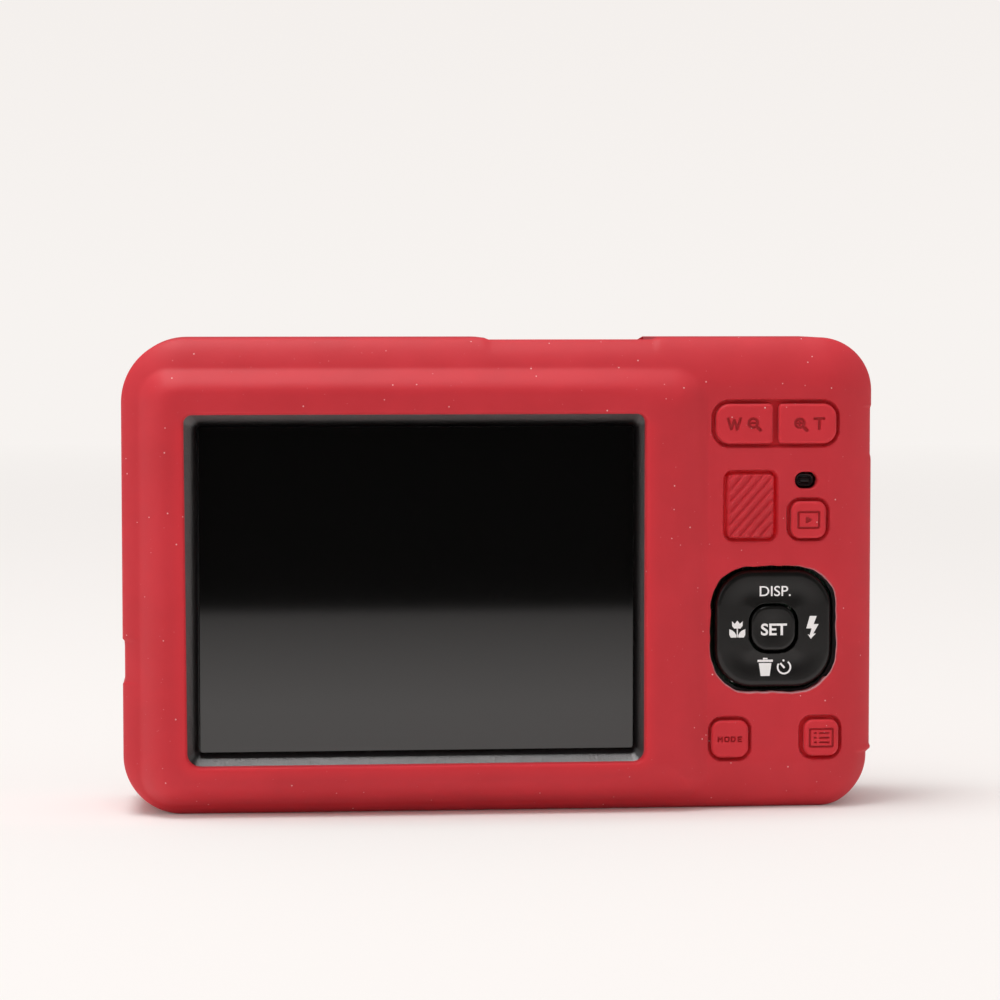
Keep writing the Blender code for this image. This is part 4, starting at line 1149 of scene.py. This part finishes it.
def pad_prints(look):
    y = PAD[2] - 0.012
    cx, cz = middle_of(PAD)
    written("print_display", "DISP.", cx + 0.18, cz + 4.86, 1.3, y, look, "control_pad", 0.012, 1.05)
    key_y = node_box("set_button")[2]
    written("print_set", "SET", cx + 0.05, cz - 0.1, 1.45, key_y - 0.004, look, "set_button", 0.05, 1.05)
    bolt = [
        (0.55, 1.4), (-0.35, 1.4), (-0.8, -0.2), (-0.1, -0.2), (-0.35, -1.05), (-0.62, -0.95), (-0.2, -1.55),
        (0.45, -0.85), (0.12, -0.88), (0.8, 0.35), (0.15, 0.35),
    ]
    bin_marks = [
        [(-1.0, 0.72), (1.0, 0.72), (1.0, 1.0), (-1.0, 1.0)],
        [(-0.3, 1.04), (0.3, 1.04), (0.3, 1.24), (-0.3, 1.24)],
        [(-0.58, -1.1), (0.58, -1.1), (0.82, 0.58), (-0.82, 0.58)],
    ]
    timer = [
        ring_part(0, 0, 0.72, 0.94, 148, 415), bar_mark(0.06, -0.1, -0.5, 0.52, 0.13),
        ring_part(-0.07, 0.86, 0.0, 0.14, 0, 345, 12)[:13],
    ]
    leaf = [(-1.03, -0.02), (-1.03, -0.75), (-0.85, -1.1), (-0.14, -1.1), (-0.12, -0.8), (-0.35, -0.42),
            (-0.62, -0.2)]
    head = [(-0.69, 1.0), (-0.68, 0.42), (-0.42, 0.06), (0.42, 0.06), (0.68, 0.42), (0.69, 1.0), (0.34, 0.66),
            (0.0, 1.08), (-0.34, 0.66)]
    flower = [head, leaf, [(-x, z) for x, z in reversed(leaf)], bar_mark(0, 0.1, 0, -1.08, 0.07)]
    for name, shapes, right, up in (
        ("bolt", [bolt], 5.05, 0.2), ("bin", bin_marks, -1.08, -5.0), ("timer", timer, 1.38, -4.98),
        ("flower", flower, -4.72, 0),
    ):
        shapes = [[(cx + right + x, cz + up + z) for x, z in shape] for shape in shapes]
        flat_mark("print_" + name, shapes, y, look, "control_pad")


def status_light(look):
    """A small domed pill with a groove round its middle."""
    box = face_of(LIGHT)

    def groove(x, z):
        return 0.3 * np.exp(-(((rounded_box(x, z, box, 0.8) + 0.42) / 0.14) ** 2))

    slab = soft_slab(box, LIGHT[2], LIGHT[3], 0.8, 0.25, 0.06, groove)
    new_object("light_pipe", slab, look, "camera_body", ["status_light"])


# ---------------------------------------------------------------- lens, flash and top buttons


def lathe(profile, centre, upright=False, steps=120, teeth=0, depth=0.0, toothed=()):
    """Points and faces of a (radius, height) outline turned about an axis along Y, or along Z if upright.

    The outline's points whose numbers are in toothed are cut in and out by teeth round the circle. An
    outline that goes clockwise is turned round, so that the faces look outwards.
    """
    following = profile[1:] + profile[:1]
    area = sum(r * next_h - next_r * h for (r, h), (next_r, next_h) in zip(profile, following))
    if area < 0:
        profile = profile[::-1]
    points, faces, rows = [], [], []
    for number, (radius, height) in enumerate(profile):
        row = []
        for i in range(steps if radius else 1):
            angle = 2 * math.pi * i / steps
            wave = depth * (0.5 + 0.5 * math.cos(teeth * angle)) if number in toothed else 0.0
            a, b = (radius - wave) * math.cos(angle), (radius - wave) * math.sin(angle)
            row.append(len(points))
            points.append((centre[0] + a, centre[1] + b, height) if upright else
                          (centre[0] + a, height, centre[1] + b))
        rows.append(row * steps if len(row) == 1 else row)
    for here, after in zip(rows, rows[1:] + rows[:1]):
        for i in range(steps):
            j = (i + 1) % steps
            corners = list(dict.fromkeys((here[i], here[j], after[j], after[i])))
            if len(corners) > 2:
                faces.append(corners if upright else corners[::-1])
    return points, faces


def lens_pieces(bright, satin, coated):
    """The trim ring, both barrels and the front element, each turned from one outline."""
    trim = [
        (15.35, 8.9), (15.35, 11.7), (15.55, 11.95), (16.2, 12.3), (16.45, 12.38), (17.1, 12.36),
        (17.16, 12.24), (17.34, 12.24), (17.4, 12.34), (19.2, 12.2), (19.45, 12.12), (19.6, 11.98),
        (20.75, 10.75), (20.95, 10.45), (21.0, 10.2), (21.0, 8.9),
    ]
    new_object("trim_ring", lathe(trim, LENS), bright, "camera_body", ["front_lens_ring"], sharp=28.0)
    outer = [
        (13.2, -2.9), (13.2, 10.8), (13.35, 10.98), (13.6, 11.0), (14.5, 11.0), (14.72, 10.92),
        (14.8, 10.7), (14.8, 9.9), (14.68, 9.8), (14.68, 9.6), (14.8, 9.5), (14.8, 8.9),
        (14.68, 8.8), (14.68, 8.6), (14.8, 8.5), (14.8, -2.9),
    ]
    new_object("large_barrel", lathe(outer, LENS), satin, "outer_barrel", ["outer_barrel"], sharp=28.0)
    inner = [
        (11.7, -2.0), (11.7, 10.5), (4.6, 10.5), (4.6, 10.75), (4.75, 10.9), (6.6, 11.22),
        (6.7, 11.14), (6.82, 11.14), (6.92, 11.27), (8.6, 11.3), (8.7, 11.2), (8.82, 11.2),
        (8.92, 11.32), (10.6, 11.36), (10.7, 11.24), (10.82, 11.24), (10.92, 11.38), (12.2, 11.4),
        (12.62, 11.28), (12.8, 11.0), (12.8, 9.6), (12.7, 9.5), (12.7, 9.3), (12.8, 9.2),
        (12.8, -2.0),
    ]
    new_object("small_barrel", lathe(inner, LENS), satin, "inner_barrel", ["inner_barrel"], sharp=28.0)
    foot, radius, rise = 5.4, 9.0, 1.8
    front = [(radius * math.sin(t), foot + rise + rise * math.cos(t)) for t in np.linspace(QUARTER, 0, 14)]
    front[-1] = (0.0, foot + 2 * rise)
    dome = lathe([(0.0, foot), (radius, foot)] + front, LENS, steps=64)
    new_object("front_element", dome, coated, "inner_barrel", ["front_lens"], sharp=35.0)


def flash_pieces(frosted):
    """The flash window: a clear pane with fine upright ribs inside a plain border."""
    x0, x1, y0, y1, z0, z1 = node_box("flash_window")
    across, down = 154, 24
    pitch, depth, plain, rim, drop = 0.45, 0.16, 0.45, 0.3, 0.25
    points = []
    for i in range(across + 1):
        x = x0 + (x1 - x0) * i / across
        for j in range(down + 1):
            z = z0 + (z1 - z0) * j / down
            inside = -float(rounded_box(np.array([x]), np.array([z]), (x0, x1, z0, z1), 0.8)[0])
            ribbed = float(smooth((inside - plain) / 0.1)) * depth * abs((x - x0) / pitch % 1.0 - 0.5) * 2
            fall = drop * (1 - math.sqrt(max(0.0, 1 - (1 - min(max(inside, 0.0), rim) / rim) ** 2)))
            points.append((x, y1 - ribbed - fall, z))
    count = len(points)
    points += [(x, y0, z) for x, _, z in points]
    faces = []
    for i in range(across):
        for j in range(down):
            a, b = i * (down + 1) + j, (i + 1) * (down + 1) + j
            faces.append([a, a + 1, b + 1, b])
            faces.append([count + a, count + b, count + b + 1, count + a + 1])
    border = [i * (down + 1) for i in range(across)] + [across * (down + 1) + j for j in range(down)]
    border += [i * (down + 1) + down for i in range(across, 0, -1)] + [j for j in range(down, 0, -1)]
    for a, b in zip(border, border[1:] + border[:1]):
        faces.append([a, b, count + b, count + a])
    new_object("ribbed_flash_window", (points, faces), frosted, "camera_body", ["flash_window"], sharp=25.0)


def top_buttons(bright):
    """The shutter key has a dished top, a toothed edge and a pocket for its spring.

    The power key has a turned groove.
    """
    shutter = [
        (0.0, 53.5), (0.9, 53.5), (0.9, 57.2), (2.7, 57.2), (2.7, 55.9), (5.5, 55.9), (5.5, 56.6),
        (4.6, 56.6), (4.6, 59.2), (4.5, 59.5), (4.25, 59.66), (3.95, 59.7), (3.7, 59.62),
        (2.4, 59.42), (1.2, 59.34), (0.0, 59.32),
    ]
    key = lathe(shutter, (13.5, 0.0), True, 240, 48, 0.14, (7, 8))
    new_object("shutter_key", key, bright, "shutter_button", ["shutter_button"], sharp=30.0)
    power = [
        (0.0, 53.5), (0.9, 53.5), (0.9, 55.9), (3.9, 55.9), (3.9, 56.6), (3.0, 56.6), (3.0, 58.55),
        (2.88, 58.8), (2.65, 58.9), (2.2, 58.9), (2.12, 58.8), (1.98, 58.8), (1.9, 58.9),
        (0.0, 58.9),
    ]
    key = lathe(power, (2.5, 0.0), True, 96)
    new_object("power_key", key, bright, "power_button", ["power_button"], sharp=30.0)


def port_flap(look):
    """The rubber flap over the socket: a soft edge, a sunk panel and a lip to lift it by."""
    x0, x1, y0, y1, z0, z1 = node_box("port_cover")
    whole = (y0, y1, z0, z1)
    loops = (
        (whole, 0.5, x1), (whole, 0.5, x0 + 0.2), (grown(whole, -0.06), 0.5, x0 + 0.06),
        (grown(whole, -0.2), 0.45, x0), (grown(whole, -0.65), 0.35, x0), (grown(whole, -0.8), 0.3, x0 + 0.18),
    )
    points, faces = stacked(loops, 5)
    points = points[:, [1, 0, 2]]
    count = len(points)
    lip = ((y1 - 2.1, y1 - 1.3, z0 + 1.1, z1 - 1.1), 0.3)
    raised, more = stacked(((*lip, x0 + 0.3), (*lip, x0 + 0.08), (grown(lip[0], -0.12), 0.2, x0)), 4)
    points = np.vstack([points, raised[:, [1, 0, 2]]])
    faces = [face[::-1] for face in faces] + [[count + i for i in face[::-1]] for face in more]
    new_object("port_flap", (points, faces), look, "port_cover", ["port_cover"], sharp=35.0)


# ---------------------------------------------------------------- carried-over pieces


def dress_frame():
    """Gives each CAD node that stays in view its own procedural material."""
    black = plastic("casing_black", (0.03, 0.03, 0.032), 0.42, 3.0, 0.02)
    steel = metal("pressed_steel", (0.6, 0.6, 0.61), 0.32)
    lens_black = plastic("lens_black", (0.015, 0.015, 0.016), 0.4, 5.0, 0.01)
    glass = clear("lens_glass", (0.86, 0.9, 1.0), 0.01, 0.95, 1.6, 0.5)
    board = circuit("circuit_board")
    looks = {
        black: ("front_cover", "rear_cover", "battery_door"),
        plastic("top_plate_grey", (0.06, 0.06, 0.065), 0.35, 4.0, 0.01): ("top_plate",),
        steel: ("chassis", "card_socket", "hinge_pin", "data_socket", "base_screw_left", "base_screw_right",
                "shutter_spring", "zoom_motor", "tripod_socket"),
        plastic("key_plastic", (0.035, 0.035, 0.037), 0.4): ("zoom_rocker", "playback_button", "mode_button",
                                                           "menu_button", "pad_carrier"),
        lens_black: ("lens_base", "cam_ring", "shutter_unit", "focus_carriage", "upper_barrier_blade",
                     "lower_barrier_blade"),
        glass: ("middle_lens", "focus_lens"),
        board: ("main_board", "top_board", "sensor_board"),
        plastic("display_stack", (0.02, 0.02, 0.024), 0.2): ("display_panel",),
        clear("sensor_glass", (0.3, 0.36, 0.45), 0.02, 0.2): ("image_sensor",),
        plastic("component_black", (0.03, 0.03, 0.035), 0.4): ("flash_capacitor", "speaker"),
        metal("bright_reflector", (0.88, 0.88, 0.89), 0.12): ("flash_reflector",),
        clear("amber_window", (0.95, 0.4, 0.1), 0.05, 0.8): ("focus_lamp_window",),
        plastic("gear_plastic", (0.75, 0.73, 0.66), 0.4): ("drive_gear",),
        plastic("tray_plastic", (0.05, 0.05, 0.055), 0.5): ("battery_tray", "door_latch"),
        plastic("battery_wrap", (0.11, 0.12, 0.15), 0.35, 1.0, 0.01, 0.3): ("battery",),
        plastic("card_plastic", (0.035, 0.045, 0.08), 0.45): ("memory_card",),
        metal("eyelet_metal", (0.5, 0.5, 0.51), 0.35): ("strap_eyelet",),
    }
    for look, names in looks.items():
        for name in names:
            data = frame["nodes"][name].data
            data.materials.clear()
            data.materials.append(look)


# ---------------------------------------------------------------- floor, light and camera


HORIZON = (0.93, 0.897, 0.872, 1)


def stage():
    """A pale floor, dark for the reflections in the upper part of the screen.

    With distance it fades into a plain glow. Near the camera's foot there is no glow, so that the
    contact shadow shows.
    """
    made = Nodes("pale_floor")
    pale = made.mix(made.noise(0.01, 2.0), (0.90, 0.875, 0.86), (0.91, 0.885, 0.87))
    place = made.add("ShaderNodeTexCoord").outputs["Object"]
    split = made.add("ShaderNodeSeparateXYZ")
    made.link(place, split.inputs["Vector"])
    # Painted reflection: for glossy rays only, the floor behind the camera turns near black, so the screen
    # and glossy parts reflect a dark room.
    behind = made.spread(split.outputs["Y"], 1.0, 0.0, -0.288, -0.262)
    dim = made.spread(split.outputs["Y"], 0.45, 0.0, -0.27, -0.12)
    path = made.add("ShaderNodeLightPath")
    dark = made.join("MULTIPLY", made.join("MAXIMUM", behind, dim), path.outputs["Is Glossy Ray"])
    made.set(Base_Color=made.mix(dark, pale, (0.004, 0.0035, 0.003)), Roughness=0.75, Specular_IOR_Level=0.2)
    haze = made.add("ShaderNodeEmission", Color=HORIZON)
    squeezed = made.add("ShaderNodeVectorMath", operation="MULTIPLY")
    squeezed.inputs[1].default_value = (0.25, 1.0, 1.0)
    made.link(place, squeezed.inputs[0])
    faded = made.spread(made.length(place), 0.55, 1.0, 0.1, 1.1)
    clear_of_foot = made.spread(made.length(squeezed.outputs["Vector"]), 0.0, 1.0, 0.0105, 0.023)
    seen = made.join("MULTIPLY", made.join("MULTIPLY", faded, clear_of_foot), path.outputs["Is Camera Ray"])
    blended = made.blend(seen, made.shader.outputs["BSDF"], haze.outputs["Emission"])
    made.link(blended, made.tree.nodes["Material Output"].inputs["Surface"])
    data = bpy.data.meshes.new("floor")
    half = 30.0
    corners = [(-half, -half, 0), (half, -half, 0), (half, half, 0), (-half, half, 0)]
    data.from_pydata(corners, [], [(0, 1, 2, 3)])
    data.materials.append(made.owner)
    floor = bpy.data.objects.new("floor", data)
    bpy.context.scene.collection.objects.link(floor)


def world():
    """A pale room for the eye, softer light for matt surfaces and a dark room for reflections."""
    made = Nodes("studio", world=True)
    made.tree.nodes.clear()
    split = made.add("ShaderNodeSeparateXYZ")
    made.link(made.add("ShaderNodeTexCoord").outputs["Generated"], split.inputs["Vector"])
    rise = made.spread(split.outputs["Z"], 0.0, 1.0, 0.0, 0.2)
    seen = made.add("ShaderNodeBackground", Strength=1.0)
    made.link(made.mix(rise, HORIZON[:3], (0.88, 0.84, 0.815)), seen.inputs["Color"])
    soft = made.add("ShaderNodeBackground", Color=(1.0, 0.97, 0.95, 1))
    made.link(made.spread(split.outputs["Z"], 0.1, 0.76, 0.0, 0.8), soft.inputs["Strength"])
    dark = made.add("ShaderNodeBackground", Color=(0.03, 0.03, 0.03, 1))
    path = made.add("ShaderNodeLightPath")
    room = made.blend(
        path.outputs["Is Glossy Ray"], soft.outputs["Background"], dark.outputs["Background"]
    )
    room = made.blend(path.outputs["Is Camera Ray"], room, seen.outputs["Background"])
    made.link(room, made.add("ShaderNodeOutputWorld").inputs["Surface"])
    bpy.context.scene.world = made.owner


def area_light(name, place, size, power, colour):
    """A rectangular light that points at the camera body."""
    data = bpy.data.lights.new(name, "AREA")
    data.shape = "RECTANGLE"
    data.size, data.size_y = size
    data.energy = power
    data.color = colour
    made = bpy.data.objects.new(name, data)
    made.location = place
    made.rotation_euler = (Vector((0, 0, 0.03)) - Vector(place)).to_track_quat("-Z", "Y").to_euler()
    bpy.context.scene.collection.objects.link(made)


def camera():
    """Behind the camera body, a little to its left and above, about 42 cm away."""
    target = Vector((0.67, 0, 39.54)) * MM
    turn, rise, distance = math.radians(-5.0), math.radians(3.5), 0.41786
    back = Vector((math.sin(turn) * math.cos(rise), -math.cos(turn) * math.cos(rise), math.sin(rise)))
    data = bpy.data.cameras.new("view")
    data.sensor_width = 36.0
    data.lens = 115.2
    data.clip_start, data.clip_end = 0.01, 20.0
    made = bpy.data.objects.new("view", data)
    made.location = target + back * distance
    made.rotation_euler = (-back).to_track_quat("-Z", "Y").to_euler()
    bpy.context.scene.collection.objects.link(made)
    bpy.context.scene.camera = made


# ---------------------------------------------------------------- assembly

dress_frame()
red = silicone()
silicone_sleeve(red)
sleeve_keys(red)
screen(
    plastic("bezel_texture", (0.018, 0.016, 0.016), 0.3, 3.6, 0.12, ior=2.1),
    black_glass(),
)
pad_black = plastic("pad_black", (0.009, 0.0085, 0.008), 0.24, 4.0, 0.01, ior=1.45)
control_pad(pad_black)
white = plastic("print_white", (0.97, 0.96, 0.955), 0.5, 4.0, 0.005, variation=0.03)
pad_prints(white)
status_light(plastic("light_pipe_black", (0.02, 0.02, 0.022), 0.08, 0.5, 0.0))
turned_metal = metal("turned_aluminium", (0.66, 0.66, 0.68), 0.24, 0.8, (12.0, 12.0, 12.0))
satin_metal = metal("satin_barrel", (0.5, 0.5, 0.52), 0.34, 0.8, (12.0, 12.0, 12.0))
lens_pieces(turned_metal, satin_metal, clear("coated_lens", (0.62, 0.7, 0.95), 0.01, 0.9, 1.7, 0.6))
flash_pieces(clear("ribbed_pane", (0.93, 0.94, 0.95), 0.08, 0.9))
top_buttons(turned_metal)
port_flap(plastic("flap_rubber", (0.03, 0.03, 0.03), 0.6, 3.0))
stage()
world()
for name, place, size, power, colour in (
    ("key", (-0.2, -0.06, 0.9), (0.5, 0.4), 5.0, (1.0, 0.985, 0.985)),
    ("left fill", (-0.7, -0.35, 0.35), (0.5, 0.5), 0.7, (1, 1, 1)),
    ("right fill", (0.75, -0.3, 0.35), (0.5, 0.5), 0.35, (1, 1, 1)),
):
    area_light(name, place, size, power, colour)
camera()
bpy.context.scene.view_settings.view_transform = "Standard"
